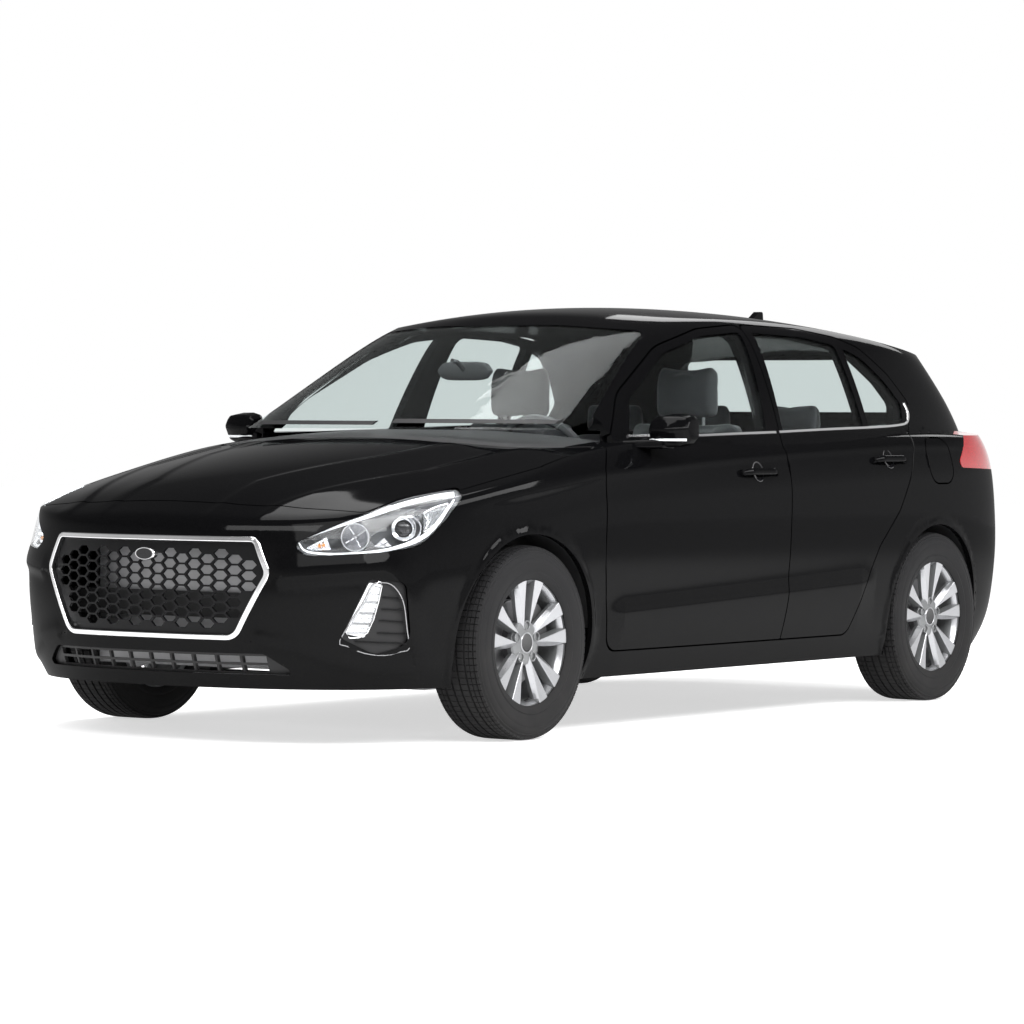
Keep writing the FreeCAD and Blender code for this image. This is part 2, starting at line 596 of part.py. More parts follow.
def build_side_frames():
    edge = fender_edge_x()
    shell = OUTER.cut(FRAME_CORE).common(
        box(-LENGTH, BULKHEAD_X, 0, WIDTH, 0, HEIGHT * 2))
    shell = shell.cut(box(edge, LENGTH, 0, WIDTH, 0, HEIGHT).cut(hull(SKIN + SEAT_CLEARANCE)))
    roof_cut = box(-LENGTH, LENGTH / 4, -ROOF_HALF, ROOF_HALF, HEIGHT * 0.85, HEIGHT * 2)
    shell = shell.cut(roof_cut).cut(tailgate_form(SHUT_GAP / 2)).cut(SCREEN_CUT)
    shell = shell.cut(arch_cut(LINER_SET + LINER + SEAT_CLEARANCE).common(SKIN_CORE)).cut(arch_cut())
    shell = shell.cut(rear_bumper_region().cut(hull(SKIN + SEAT_CLEARANCE)))
    shell = shell.cut(box(-LENGTH, -LENGTH * 0.42, 0, WIDTH * 0.36, 0, HEIGHT * 0.32))
    rebate = OUTER.cut(REBATE_CORE)
    for shares, radii in ((FRONT_DOOR_SHARES, FRONT_DOOR_RADII), (REAR_DOOR_SHARES, REAR_DOOR_RADII)):
        shell = shell.cut(rebate.common(drafted_side(shares, radii, SHUT_GAP / 2, WIDTH * 0.2)))
        shell = shell.cut(drafted_side(shares, radii, -SEAL_FLANGE, WIDTH * 0.2))
    lamp_pocket = OUTER.cut(hull(DOOR_DEPTH)).common(TAIL_LAMP_CUT)
    shell = shell.cut(lamp_pocket).cut(BONNET_CUT)
    shell = shell.cut(box(LENGTH * 0.10, LENGTH, 0, COWL_HALF, 0, COWL_TOP))
    right = mirrored(largest(shell))
    flap = side_prism(FLAP_SHARES, FLAP_RADII, SHUT_GAP / 2, WIDTH / 2 - FLAP_POCKET - OVERRUN)
    left = shell.cut(flap).fuse(flap_pin(HINGE_PIN_RADIUS))
    out("side_frame_left", largest(left))
    out("side_frame_right", right)
    lid = side_prism(FLAP_SHARES, FLAP_RADII, -SHUT_GAP / 2, WIDTH * 0.3)
    lid = lid.common(OUTER).cut(hull(FLAP_THICKNESS)).cut(flap_pin(HINGE_PIN_RADIUS + SEAT_CLEARANCE))
    out("fuel_flap", largest(lid))


def rear_bumper_region():
    points = [(x * LENGTH / 2, z * HEIGHT) for x, z in REAR_BUMPER_SHARES]
    return prism(points, [SHUT_GAP] * 4, lambda p: V(p.x, -WIDTH, p.y), lambda p: V(p.x, WIDTH, p.y))


def build_rear_bumper():
    out("rear_bumper", largest(THIN.common(rear_bumper_region()).cut(arch_cut()).cut(
        tailgate_form(SHUT_GAP / 2))))


# Threaded holes for roof bars: places, the height of their flats and their sizes
RACK_FRONT_X = 20.0
RACK_REAR_X = -780.0
RACK_Y = 520.0
RACK_FRONT_Z = 1386.0
RACK_REAR_Z = 1408.0
RACK_FLAT_RADIUS = 12.0
RACK_HOLE_RADIUS = 4.0
RACK_HOLE_DEPTH = 20.0


def build_roof():
    slab = box(-LENGTH * 0.46, LENGTH / 4, -ROOF_HALF, ROOF_HALF, HEIGHT * 0.85, HEIGHT * 2)
    roof = OUTER.cut(FRAME_CORE).common(slab).cut(SCREEN_CUT).cut(tailgate_form(SHUT_GAP / 2))
    for x, z in ((RACK_FRONT_X, RACK_FRONT_Z), (RACK_REAR_X, RACK_REAR_Z)):
        flat = Part.makeCylinder(RACK_FLAT_RADIUS, SKIN, V(x, RACK_Y, z), V(0, 0, 1))
        hole = Part.makeCylinder(RACK_HOLE_RADIUS, RACK_HOLE_DEPTH, V(x, RACK_Y, z), V(0, 0, -1))
        roof = roof.cut(both_sides(flat)).cut(both_sides(hole))
    out("roof_panel", largest(roof.fuse(tailgate_pins(HINGE_PIN_RADIUS).Solids)))


def build_doors():
    shell = OUTER.cut(DOOR_CORE).common(box(-LENGTH, LENGTH, ROOF_HALF + SHUT_GAP, WIDTH, 0, HEIGHT * 2))
    shell = shell.cut(box(LENGTH * 0.10, LENGTH, 0, COWL_HALF + SKIN * 2, 0, COWL_TOP + SHUT_GAP))
    front = shell.common(drafted_side(FRONT_DOOR_SHARES, FRONT_DOOR_RADII, -SHUT_GAP / 2, WIDTH * 0.2))
    rear = shell.common(drafted_side(REAR_DOOR_SHARES, REAR_DOOR_RADII, -SHUT_GAP / 2, WIDTH * 0.2))
    front = front.common(ahead_of_split(SHUT_GAP / 2))
    rear = rear.cut(ahead_of_split(-SHUT_GAP / 2))
    windows = ((front, "front", ((FRONT_WINDOW_SHARES, FRONT_WINDOW_RADII),)),
               (rear, "rear", ((REAR_WINDOW_SHARES, REAR_WINDOW_RADII),
                               (QUARTER_WINDOW_SHARES, QUARTER_WINDOW_RADII))))
    for door, name, holes in windows:
        panes = []
        for shares, radii in holes:
            door = door.cut(side_prism(shares, radii, 0.0, WIDTH * 0.2))
            panes.append(GLASS_SHELL.common(side_prism(shares, radii, -SEAT_CLEARANCE, WIDTH * 0.2)))
        door = largest(door)
        glass = Part.makeCompound(panes)
        out(name + "_door_left", door)
        out(name + "_door_right", mirrored(door))
        out(name + "_glass_left", glass)
        out(name + "_glass_right", mirrored(glass))


def spoiler(form):
    """Wing that carries the roof line on over the rear window."""
    points = [(x * LENGTH / 2, y * WIDTH / 2) for x, y in SPOILER_SHARES]
    plan = prism(points, SPOILER_RADII, lambda p: V(p.x, p.y, HEIGHT * 0.8), lambda p: V(p.x, p.y, HEIGHT))
    return crowned(ROOF_SHARES, 0.0, SPOILER_THICKNESS).common(plan).common(form)


def build_tailgate():
    form = tailgate_form(-SHUT_GAP / 2)
    gate = OUTER.cut(hull(DOOR_DEPTH, DOOR_DEPTH, ROOF_DEPTH)).common(form)
    gate = gate.cut(end_prism(TAIL_WINDOW_SHARES, TAIL_WINDOW_RADII, -LENGTH / 2, -LENGTH * 0.3))
    gate = gate.cut(OUTER.cut(hull(SKIN * 2)).common(TAIL_LAMP_CUT))
    plate = end_prism(PLATE_SHARES, PLATE_RADII, -LENGTH / 2 - OVERRUN, -LENGTH * 0.4)
    gate = gate.cut(plate.cut(body_net(PLATE_DEPTH))).fuse(spoiler(form))
    out("tailgate", largest(gate.cut(tailgate_pins(HINGE_PIN_RADIUS + SEAT_CLEARANCE))))
    glass = GLASS_SHELL.common(end_prism(
        TAIL_WINDOW_SHARES, TAIL_WINDOW_RADII, -LENGTH / 2, -LENGTH * 0.3, -SEAT_CLEARANCE))
    wing = spoiler(form)
    wing.translate(V(0, 0, -SEAT_CLEARANCE))
    out("tailgate_glass", largest(glass.cut(wing)))
    lamp = OUTER.cut(hull(SKIN * 2 - SEAT_CLEARANCE))
    cut = both_sides(side_prism(TAIL_LAMP_SHARES, TAIL_LAMP_RADII, -SEAT_CLEARANCE, WIDTH * 0.10 + SEAT_CLEARANCE))
    lamp = lamp.common(cut)
    out("tailgate_lamps", lamp.common(form))
    out("tail_lamps", lamp.cut(tailgate_form(SHUT_GAP / 2)))


def build_screens():
    screen = GLASS_SHELL.common(end_prism(SCREEN_SHARES, SCREEN_RADII, 0.0, LENGTH / 2, -SEAT_CLEARANCE))
    out("windscreen", largest(screen.cut(crowned(DECK_SHARES, -SEAT_CLEARANCE, HEIGHT))))


def build_bulkhead():
    cowl = THIN.common(box(LENGTH * 0.10, LENGTH / 2, -COWL_HALF, COWL_HALF, HEIGHT / 2, COWL_TOP))
    cowl = cowl.cut(BONNET_CUT).common(box(LENGTH * 0.10, BULKHEAD_X + WIDTH * 0.1, -WIDTH, WIDTH, 0, HEIGHT))
    room = hull(FRAME_DEPTH + SEAT_CLEARANCE, PILLAR_DEPTH + SEAT_CLEARANCE, SKIN / 2)
    wall = room.common(box(BULKHEAD_X, BULKHEAD_X + BULKHEAD_PLATE, -COWL_HALF, COWL_HALF, FLOOR_Z, HEIGHT * 0.66))
    wall = wall.cut(arch_cut(LINER_SET + LINER + SEAT_CLEARANCE))
    wall = wall.cut(OUTER.cut(hull(SKIN + SEAT_CLEARANCE)).common(BONNET_CUT))
    wall = wall.cut(box(0, LENGTH, -TUNNEL_HALF + FLOOR_PLATE, TUNNEL_HALF - FLOOR_PLATE, 0,
                        FLOOR_Z + TUNNEL_HEIGHT - FLOOR_PLATE))
    out("bulkhead", largest(wall.fuse(cowl.cut(BONNET_CUT))))


def build_floor():
    room = CABIN_ROOM
    floor = room.common(box(KICK_X, BULKHEAD_X - SEAT_CLEARANCE, -WIDTH, WIDTH, FLOOR_Z, FLOOR_Z + FLOOR_PLATE))
    tunnel = box(KICK_X, BULKHEAD_X - SEAT_CLEARANCE, -TUNNEL_HALF, TUNNEL_HALF, FLOOR_Z, FLOOR_Z + TUNNEL_HEIGHT)
    hollow = box(KICK_X - OVERRUN, BULKHEAD_X, -TUNNEL_HALF + FLOOR_PLATE, TUNNEL_HALF - FLOOR_PLATE,
                 0, FLOOR_Z + TUNNEL_HEIGHT - FLOOR_PLATE)
    kick = room.common(box(KICK_X - FLOOR_PLATE, KICK_X, -WIDTH, WIDTH, FLOOR_Z, BOOT_FLOOR_Z + FLOOR_PLATE))
    boot = room.common(box(-LENGTH / 2, KICK_X, -WIDTH, WIDTH, BOOT_FLOOR_Z, BOOT_FLOOR_Z + FLOOR_PLATE))
    floor = floor.fuse([tunnel, kick, boot]).cut(hollow)
    rail_floor = box(KICK_X, front_axle() + OVERRUN, RAIL_Y, RAIL_Y + RAIL_WIDTH, FLOOR_Z - FLOOR_PLATE, FLOOR_Z)
    leg = box(front_axle() - RAIL_WIDTH, front_axle() + OVERRUN, RAIL_Y, RAIL_Y + RAIL_WIDTH, FLOOR_Z - FLOOR_PLATE, RAIL_Z)
    rail = box(front_axle() - RAIL_WIDTH, RAIL_END_X, RAIL_Y, RAIL_Y + RAIL_WIDTH, RAIL_Z, RAIL_Z + RAIL_HEIGHT)
    beam = box(RAIL_END_X, RAIL_END_X + BEAM_THICKNESS, -BEAM_HALF, BEAM_HALF, RAIL_Z, RAIL_Z + RAIL_HEIGHT)
    pieces = [rail_floor, leg, rail, mirrored(rail_floor), mirrored(leg), mirrored(rail), beam]
    floor = floor.fuse(pieces).cut(arch_cut(LINER_SET + LINER + SEAT_CLEARANCE))
    out("floor_pan", largest(floor))


def build_wheel_housings():
    liners = []
    skin = hull(SKIN + SEAT_CLEARANCE)
    inner = ARCH_INNER_SPAN / 2
    for axle, radius in ((front_axle(), ARCH_FRONT_RADIUS), (rear_axle(), ARCH_REAR_RADIUS)):
        shell = wheel_drum(axle, radius + LINER_SET + LINER, inner - LINER, WIDTH / 2)
        shell = shell.cut(wheel_drum(axle, radius + LINER_SET, inner, WIDTH / 2 + OVERRUN))
        shell = shell.cut(wheel_drum(axle, DISC_RADIUS, 0, WIDTH / 2))
        shell = shell.cut(box(-LENGTH, LENGTH, 0, WIDTH, 0, LINER_FOOT))
        liners.append(largest(shell.common(skin)))
    out("wheel_housings", Part.makeCompound(liners + [mirrored(s) for s in liners]))


def build_grille():
    front = LENGTH / 2
    ring = body_net(-GRILLE_PROUD).cut(body_net(SKIN * 2))
    outer = end_prism(GRILLE_SHARES, GRILLE_RADII, front * 0.8, front + OVERRUN, -SEAT_CLEARANCE)
    inner = end_prism(GRILLE_SHARES, GRILLE_RADII, front * 0.8, front + OVERRUN, -FRAME_BAND)
    out("grille_frame", largest(ring.common(outer.cut(inner))))
    plate = body_net(SKIN).cut(body_net(SKIN + MESH_THICKNESS))
    plate = plate.common(end_prism(GRILLE_SHARES, GRILLE_RADII, front * 0.8, front + OVERRUN,
                                   -FRAME_BAND - SEAT_CLEARANCE))
    out("grille_mesh", largest(plate.cut(Part.makeCompound(mesh_cells()))))


FRAME_BAND = 17.0
MESH_THICKNESS = 10.0
CELL_WIDTH = 54.0
CELL_HEIGHT = 28.0
CELL_WEB = 5.0


def mesh_cells():
    """Staggered rows of flat hexagons that lie inside the grille outline."""
    points = [(x * WIDTH / 2, z * HEIGHT) for x, z in GRILLE_SHARES]
    room = Part.Face(corner_wire(grown(points, [-FRAME_BAND - CELL_WEB * 2] * 6), GRILLE_RADII, lambda p: V(p.x, p.y, 0)))
    low = min(p[1] for p in points)
    high = max(p[1] for p in points)
    half = max(p[0] for p in points)
    pitch_y, pitch_z = CELL_WIDTH * 0.78 + CELL_WEB, CELL_HEIGHT / 2 + CELL_WEB * 0.6
    cells = []
    row = 0
    z = low
    while z < high:
        shift = pitch_y if row % 2 else 0
        count = int(half / pitch_y) + 2
        for k in range(-count, count + 1):
            y = k * pitch_y * 2 + shift
            ring = [(y - CELL_WIDTH / 2, z), (y - CELL_WIDTH / 4, z + CELL_HEIGHT / 2),
                    (y + CELL_WIDTH / 4, z + CELL_HEIGHT / 2), (y + CELL_WIDTH / 2, z),
                    (y + CELL_WIDTH / 4, z - CELL_HEIGHT / 2), (y - CELL_WIDTH / 4, z - CELL_HEIGHT / 2)]
            if all(room.isInside(V(p[0], p[1], 0), 0.01, True) for p in ring):
                wire = Part.makePolygon([V(LENGTH * 0.4, p[0], p[1]) for p in ring + ring[:1]])
                cells.append(Part.Face(wire).extrude(V(LENGTH * 0.2, 0, 0)))
        row += 1
        z += pitch_z
    return cells


def build_lower_grille():
    front = LENGTH / 2
    plate = body_net(SKIN).cut(body_net(SKIN * 2))
    plate = plate.common(end_prism(INTAKE_SHARES, INTAKE_RADII, front * 0.8, front + OVERRUN, -SEAT_CLEARANCE))
    low, high = INTAKE_SHARES[0][1] * HEIGHT, INTAKE_SHARES[2][1] * HEIGHT
    half = INTAKE_SHARES[2][0] * WIDTH / 2
    middle = (low + high) / 2
    count = 10
    pitch = half * 2 / count
    slots = []
    for k in range(count):
        y0 = -half + k * pitch + INTAKE_WEB / 2
        for z0, z1 in ((low + INTAKE_WEB, middle - INTAKE_WEB / 2), (middle + INTAKE_WEB / 2, high - INTAKE_WEB)):
            slots.append(box(front * 0.8, front + OVERRUN, y0, y0 + pitch - INTAKE_WEB, z0, z1))
    out("lower_grille", largest(plate.cut(Part.makeCompound(slots))))


INTAKE_WEB = 8.0


def build_front_lamps():
    lens = OUTER.cut(LENS_CORE).common(sight_prism(HEADLAMP_SHARES, HEADLAMP_RADII, -SEAT_CLEARANCE))
    out("headlamp_lenses", both_sides(largest(lens)))
    back = LAMP_CORE.cut(hull(LAMP_DEPTH)).common(
        sight_prism(HEADLAMP_SHARES, HEADLAMP_RADII, -SEAT_CLEARANCE))
    a = math.radians(FRONT_SIGHT)
    for x, y, z, radius in BOWL_SHARES:
        spot = V(x * LENGTH / 2, y * WIDTH / 2, z * HEIGHT)
        ahead = V(math.cos(a), math.sin(a), 0)
        bowl = Part.makeCone(radius * BOWL_RADIUS * 0.5, radius * BOWL_RADIUS, BOWL_DEPTH, spot - ahead * BOWL_DEPTH, ahead)
        tube = Part.makeCylinder(radius * BOWL_RADIUS, WIDTH / 2, spot, ahead)
        back = back.cut(bowl.fuse(tube))
    out("headlamp_housings", both_sides(largest(back)))
    fog = LENS_CORE.cut(body_net(SKIN * 3)).common(sight_prism(FOG_SHARES, FOG_RADII, -SEAT_CLEARANCE))
    lamp_cut = sight_prism(DAY_LAMP_SHARES, DAY_LAMP_RADII)
    bezel = fog.cut(lamp_cut.common(OUTER.cut(body_net(SKIN * 2))))
    out("fog_bezels", both_sides(largest(bezel)))
    lamp = LENS_CORE.cut(body_net(SKIN * 2 - SEAT_CLEARANCE)).common(
        sight_prism(DAY_LAMP_SHARES, DAY_LAMP_RADII, -SEAT_CLEARANCE))
    out("daytime_lamps", both_sides(largest(lamp)))


LAMP_DEPTH = 90.0
BOWL_RADIUS = 50.0
BOWL_DEPTH = 45.0
BOWL_SHARES = ((0.870, 0.760, 0.468, 0.92), (0.800, 0.800, 0.487, 1.0))


def tyre():
    half = TYRE_WIDTH / 2
    seat = RIM_SEAT_RADIUS + SEAT_CLEARANCE
    bead, lip = BEAD_WIDTH / 2, RIM_RADIUS + SEAT_CLEARANCE
    profile = [(-bead, seat), (-bead, lip), (-half, SIDEWALL_RADIUS), (-SHOULDER_WIDTH / 2, SHOULDER_RADIUS),
               (-TREAD_WIDTH / 2, TYRE_RADIUS), (TREAD_WIDTH / 2, TYRE_RADIUS),
               (SHOULDER_WIDTH / 2, SHOULDER_RADIUS), (half, SIDEWALL_RADIUS), (bead, lip), (bead, seat)]
    return spun(profile)


def spun(profile):
    """Turn a profile of (place along Y, radius) about the Y axis."""
    points = [V(r, y, 0) for y, r in profile]
    return Part.Face(Part.makePolygon(points + points[:1])).revolve(V(0, 0, 0), V(0, 1, 0), 360)


def wheel():
    """Alloy wheel at the origin with its outer face towards plus Y."""
    half = RIM_WIDTH / 2
    bead = BEAD_WIDTH / 2 + SEAT_CLEARANCE
    well = RIM_SEAT_RADIUS - RIM_FLANGE * 2
    barrel = spun([(-half, RIM_RADIUS), (-bead, RIM_RADIUS), (-bead, RIM_SEAT_RADIUS),
                   (bead, RIM_SEAT_RADIUS), (bead, RIM_RADIUS), (half, RIM_RADIUS),
                   (half, RIM_RADIUS - RIM_FLANGE), (half - SPOKE_DEPTH, RIM_BARREL_RADIUS),
                   (-half + RIM_FLANGE, RIM_BARREL_RADIUS), (-half, RIM_RADIUS - RIM_FLANGE)])
    face = SPOKE_FACE_SET
    hub = Part.makeCylinder(HUB_RADIUS, SPOKE_DEPTH, V(0, face - SPOKE_DEPTH, 0), V(0, 1, 0))
    spokes = []
    for k in range(SPOKE_PAIRS):
        middle = 90 + k * 360 / SPOKE_PAIRS
        for side in (-1, 1):
            spokes.append(spoke(middle, side))
    shape = barrel.fuse([hub] + spokes)
    shape = shape.cut(Part.makeCylinder(CAP_RADIUS, CAP_DEPTH, V(0, face - CAP_DEPTH, 0), V(0, 1, 0)))
    shape = shape.cut(Part.makeCylinder(STUB_RADIUS + SEAT_CLEARANCE, RIM_WIDTH, V(0, -half, 0), V(0, 1, 0)))
    for k in range(LUG_COUNT):
        a = math.radians(90 + k * 360 / LUG_COUNT)
        x, z = math.cos(a) * LUG_CIRCLE / 2, math.sin(a) * LUG_CIRCLE / 2
        shape = shape.cut(Part.makeCylinder(LUG_HOLE_RADIUS, RIM_WIDTH, V(x, -half, z), V(0, 1, 0)))
    return shape.removeSplitter()


def spoke(middle, side):
    """One of a pair of spokes, from the hub out to the rim."""
    face = SPOKE_FACE_SET
    a0 = math.radians(middle + side * SPOKE_ROOT_ANGLE)
    a1 = math.radians(middle + side * SPOKE_TIP_ANGLE)
    inner = V(math.cos(a0), 0, math.sin(a0)) * (HUB_RADIUS * 0.72)
    outer = V(math.cos(a1), 0, math.sin(a1)) * (RIM_BARREL_RADIUS + RIM_FLANGE)
    along = (outer - inner).normalize()
    across = along.cross(V(0, 1, 0)).normalize()
    wires = []
    stations = ((inner, SPOKE_ROOT_WIDTH, face, SPOKE_DEPTH),
                (outer, SPOKE_TIP_WIDTH, face + RIM_FLANGE, SPOKE_DEPTH * 0.8))
    for spot, width, top, depth in stations:
        ring = [spot + across * (width / 2) + V(0, top - depth, 0), spot + across * (width / 2) + V(0, top - depth * 0.3, 0),
                spot + across * (width * 0.36) + V(0, top, 0), spot - across * (width * 0.36) + V(0, top, 0),
                spot - across * (width / 2) + V(0, top - depth * 0.3, 0), spot - across * (width / 2) + V(0, top - depth, 0)]
        wires.append(Part.makePolygon(ring + ring[:1]))
    return Part.makeLoft(wires, True, True)


def brake_disc():
    """Disc and hat behind the wheel's mounting face."""
    back = SPOKE_FACE_SET - SPOKE_DEPTH - SEAT_CLEARANCE
    disc = Part.makeCylinder(DISC_RADIUS, DISC_THICKNESS, V(0, back - DISC_SET - DISC_THICKNESS, 0), V(0, 1, 0))
    hat = Part.makeCylinder(HAT_RADIUS, DISC_SET + DISC_THICKNESS, V(0, back - DISC_SET - DISC_THICKNESS, 0), V(0, 1, 0))
    bore = Part.makeCylinder(STUB_RADIUS + SEAT_CLEARANCE, RIM_WIDTH, V(0, -RIM_WIDTH / 2, 0), V(0, 1, 0))
    return disc.fuse(hat).cut(bore)


def build_wheels():
    alloy, disc, rubber = wheel(), brake_disc(), tyre()
    pair = Part.makeCompound([alloy, disc])
    for end, axle in (("front", front_axle()), ("rear", rear_axle())):
        for name, shape in (("wheel", pair), ("tyre", rubber)):
            left = shape.copy()
            left.translate(V(axle, TRACK / 2, TYRE_RADIUS))
            out("%s_%s_left" % (name, end), left)
            out("%s_%s_right" % (name, end), mirrored(left))


def disc_inner_y():
    return TRACK / 2 + SPOKE_FACE_SET - SPOKE_DEPTH - DISC_SET - DISC_THICKNESS - SEAT_CLEARANCE


def build_knuckles():
    """Hub carrier, stub, ball seats, steering arm and caliper of the left wheel."""
    axle, z = front_axle(), TYRE_RADIUS
    end = disc_inner_y() - SEAT_CLEARANCE
    carrier = Part.makeCylinder(CARRIER_RADIUS, CARRIER_LENGTH, V(axle, end - CARRIER_LENGTH, z), V(0, 1, 0))
    tip = TRACK / 2 + SPOKE_FACE_SET - CAP_DEPTH - SEAT_CLEARANCE
    stub = Part.makeCylinder(STUB_RADIUS, tip - end, V(axle, end, z), V(0, 1, 0))
    half = KNUCKLE_THICKNESS / 2
    upright = box(axle - half, axle + half, end - CARRIER_LENGTH, end - CARRIER_LENGTH + KNUCKLE_THICKNESS,
                  z - BALL_REACH + BALL_RADIUS, z + BALL_REACH - BALL_RADIUS)
    arm = box(axle - DISC_RADIUS, axle, end - CARRIER_LENGTH, end - CARRIER_LENGTH + KNUCKLE_THICKNESS / 2, z - half, z + half)
    caliper = wheel_drum(axle, CALIPER_ARC_RADIUS + KNUCKLE_THICKNESS / 2, end - CALIPER_WIDTH / 2, end + DISC_THICKNESS + CALIPER_WIDTH / 4)
    slot = wheel_drum(axle, DISC_RADIUS + SHUT_GAP, end - SEAT_CLEARANCE * 18, end + DISC_THICKNESS + SHUT_GAP)
    window = box(axle - DISC_RADIUS * 1.4, axle - DISC_RADIUS * 0.55, 0, WIDTH, z, z + CALIPER_LENGTH)
    caliper = caliper.cut(slot).common(window)
    bracket = box(axle - DISC_RADIUS * 0.8, axle, end - CARRIER_LENGTH, end - CALIPER_WIDTH / 2 + SHUT_GAP * 2, z, z + KNUCKLE_THICKNESS)
    left = carrier.fuse([stub, upright, arm, caliper, bracket])
    out("knuckle_left", left)
    out("knuckle_right", mirrored(left))


def build_front_suspension():
    """Subframe with lower and upper arms, springs and their towers."""
    axle, z = front_axle(), TYRE_RADIUS
    end = disc_inner_y() - SEAT_CLEARANCE - CARRIER_LENGTH
    half = KNUCKLE_THICKNESS / 2
    pieces = []
    for level in (-1, 1):
        reach = end + KNUCKLE_THICKNESS
        low = z - BALL_REACH + BALL_RADIUS - SEAT_CLEARANCE - half if level < 0 else z + BALL_REACH - BALL_RADIUS + SEAT_CLEARANCE
        pieces.append(box(axle - half, axle + half, RAIL_Y + RAIL_WIDTH, reach, low, low + half))
    foot = z + BALL_REACH - BALL_RADIUS + SEAT_CLEARANCE + half
    rise = math.sqrt((ARCH_FRONT_RADIUS + LINER_SET) ** 2 - KNUCKLE_THICKNESS ** 2)
    spring = Part.makeCylinder(KNUCKLE_THICKNESS, z + rise - SEAT_CLEARANCE - foot,
                               V(axle, RAIL_Y + RAIL_WIDTH + KNUCKLE_THICKNESS * 1.6, foot), V(0, 0, 1))
    left = pieces[1].fuse(spring)
    member = box(axle - SUBFRAME_LENGTH / 2, axle + SUBFRAME_LENGTH / 2, -RAIL_Y - RAIL_WIDTH, RAIL_Y + RAIL_WIDTH,
                 FLOOR_Z - FLOOR_PLATE - SUBFRAME_HEIGHT, FLOOR_Z - FLOOR_PLATE)
    lower = pieces[0]
    frame = member.fuse([lower, mirrored(lower)])
    out("front_suspension", Part.makeCompound([frame, left, mirrored(left)]))


SUBFRAME_LENGTH = 120.0
SUBFRAME_HEIGHT = 30.0


def build_rear_axle():
    axle, z = rear_axle(), TYRE_RADIUS
    end = disc_inner_y() - SEAT_CLEARANCE
    tip = TRACK / 2 + SPOKE_FACE_SET - CAP_DEPTH - SEAT_CLEARANCE
    stub = Part.makeCylinder(STUB_RADIUS, tip - end, V(axle, end, z), V(0, 1, 0))
    outer = TRACK / 2 - TYRE_WIDTH / 2 - SHUT_GAP * 2
    inner = outer - ARM_WIDTH
    carrier = Part.makeCylinder(CARRIER_RADIUS, end - inner, V(axle, inner, z), V(0, 1, 0))
    arm = box(axle - CARRIER_RADIUS, axle + ARM_LENGTH, inner, outer, z - ARM_HEIGHT / 2, z + ARM_HEIGHT / 2)
    beam = box(axle + ARM_LENGTH - ARM_WIDTH * 3, axle + ARM_LENGTH - ARM_WIDTH, 0, inner, z - ARM_HEIGHT / 2, z + ARM_HEIGHT / 2)
    pad = Part.makeCylinder(ARM_HEIGHT, BOOT_FLOOR_Z - SEAT_CLEARANCE - z - ARM_HEIGHT / 2,
                            V(axle + ARM_LENGTH - ARM_WIDTH * 2, ARCH_INNER_SPAN / 2 - ARM_HEIGHT * 1.4, z + ARM_HEIGHT / 2), V(0, 0, 1))
    half = stub.fuse([carrier, arm, beam, pad])
    out("rear_axle", half.fuse(mirrored(half)))


ARM_WIDTH = 46.0
ARM_LENGTH = 330.0
ARM_HEIGHT = 60.0


def build_engine():
    x0 = ENGINE_X - ENGINE_LENGTH / 2
    block = box(x0, x0 + ENGINE_LENGTH, -ENGINE_WIDTH / 2, ENGINE_WIDTH / 6, ENGINE_Z, ENGINE_Z + ENGINE_HEIGHT)
    gearbox = box(x0, x0 + ENGINE_LENGTH * 0.8, ENGINE_WIDTH / 6, ENGINE_WIDTH / 2, ENGINE_Z, ENGINE_Z + ENGINE_HEIGHT * 0.6)
    mount_z = RAIL_Z + RAIL_HEIGHT / 3
    arms = box(x0 + ENGINE_LENGTH / 3, x0 + ENGINE_LENGTH / 2, -RAIL_Y, RAIL_Y, mount_z, mount_z + RAIL_HEIGHT / 3)
    out("engine_block", block.fuse([gearbox, arms]).removeSplitter())


def build_radiator():
    x1 = RAIL_END_X - SEAT_CLEARANCE
    core = box(x1 - RADIATOR_THICKNESS, x1, -RADIATOR_HALF, RADIATOR_HALF, RAIL_Z - RADIATOR_HEIGHT * 0.4,
               RAIL_Z + RADIATOR_HEIGHT * 0.6)
    out("radiator", core)


def seat_form(width, centre):
    """Cushion, backrest and headrest of one seat, from its side outlines."""
    pieces = []
    for outline, share in ((CUSHION_SHARES, 1.0), (BACK_SHARES, 0.94), (HEADREST_SHARES, 0.5)):
        points = [(centre + x * SEAT_DEPTH, BASE_TOP + z * SEAT_BACK) for x, z in outline]
        half = width * share / 2
        pieces.append(prism(points, [SEAT_ROUND] * len(points), lambda p: V(p.x, -half, p.y),
                            lambda p: V(p.x, half, p.y)))
    return pieces[0].fuse(pieces[1:])


SEAT_DEPTH = 520.0
SEAT_BACK = 715.0
SEAT_WIDTH = 498.0
SEAT_ROUND = 34.0
BASE_TOP = 330.0
SEAT_X = -80.0
CUSHION_SHARES = ((0.52, 0.10), (0.50, 0.24), (0.0, 0.17), (-0.50, 0.16), (-0.52, -0.02), (0.46, 0.0))
BACK_SHARES = ((-0.28, 0.12), (-0.50, 0.60), (-0.60, 0.98), (-0.80, 0.98), (-0.72, 0.60), (-0.54, 0.02))
HEADREST_SHARES = ((-0.62, 0.95), (-0.61, 1.22), (-0.66, 1.28), (-0.80, 1.26), (-0.80, 0.95))


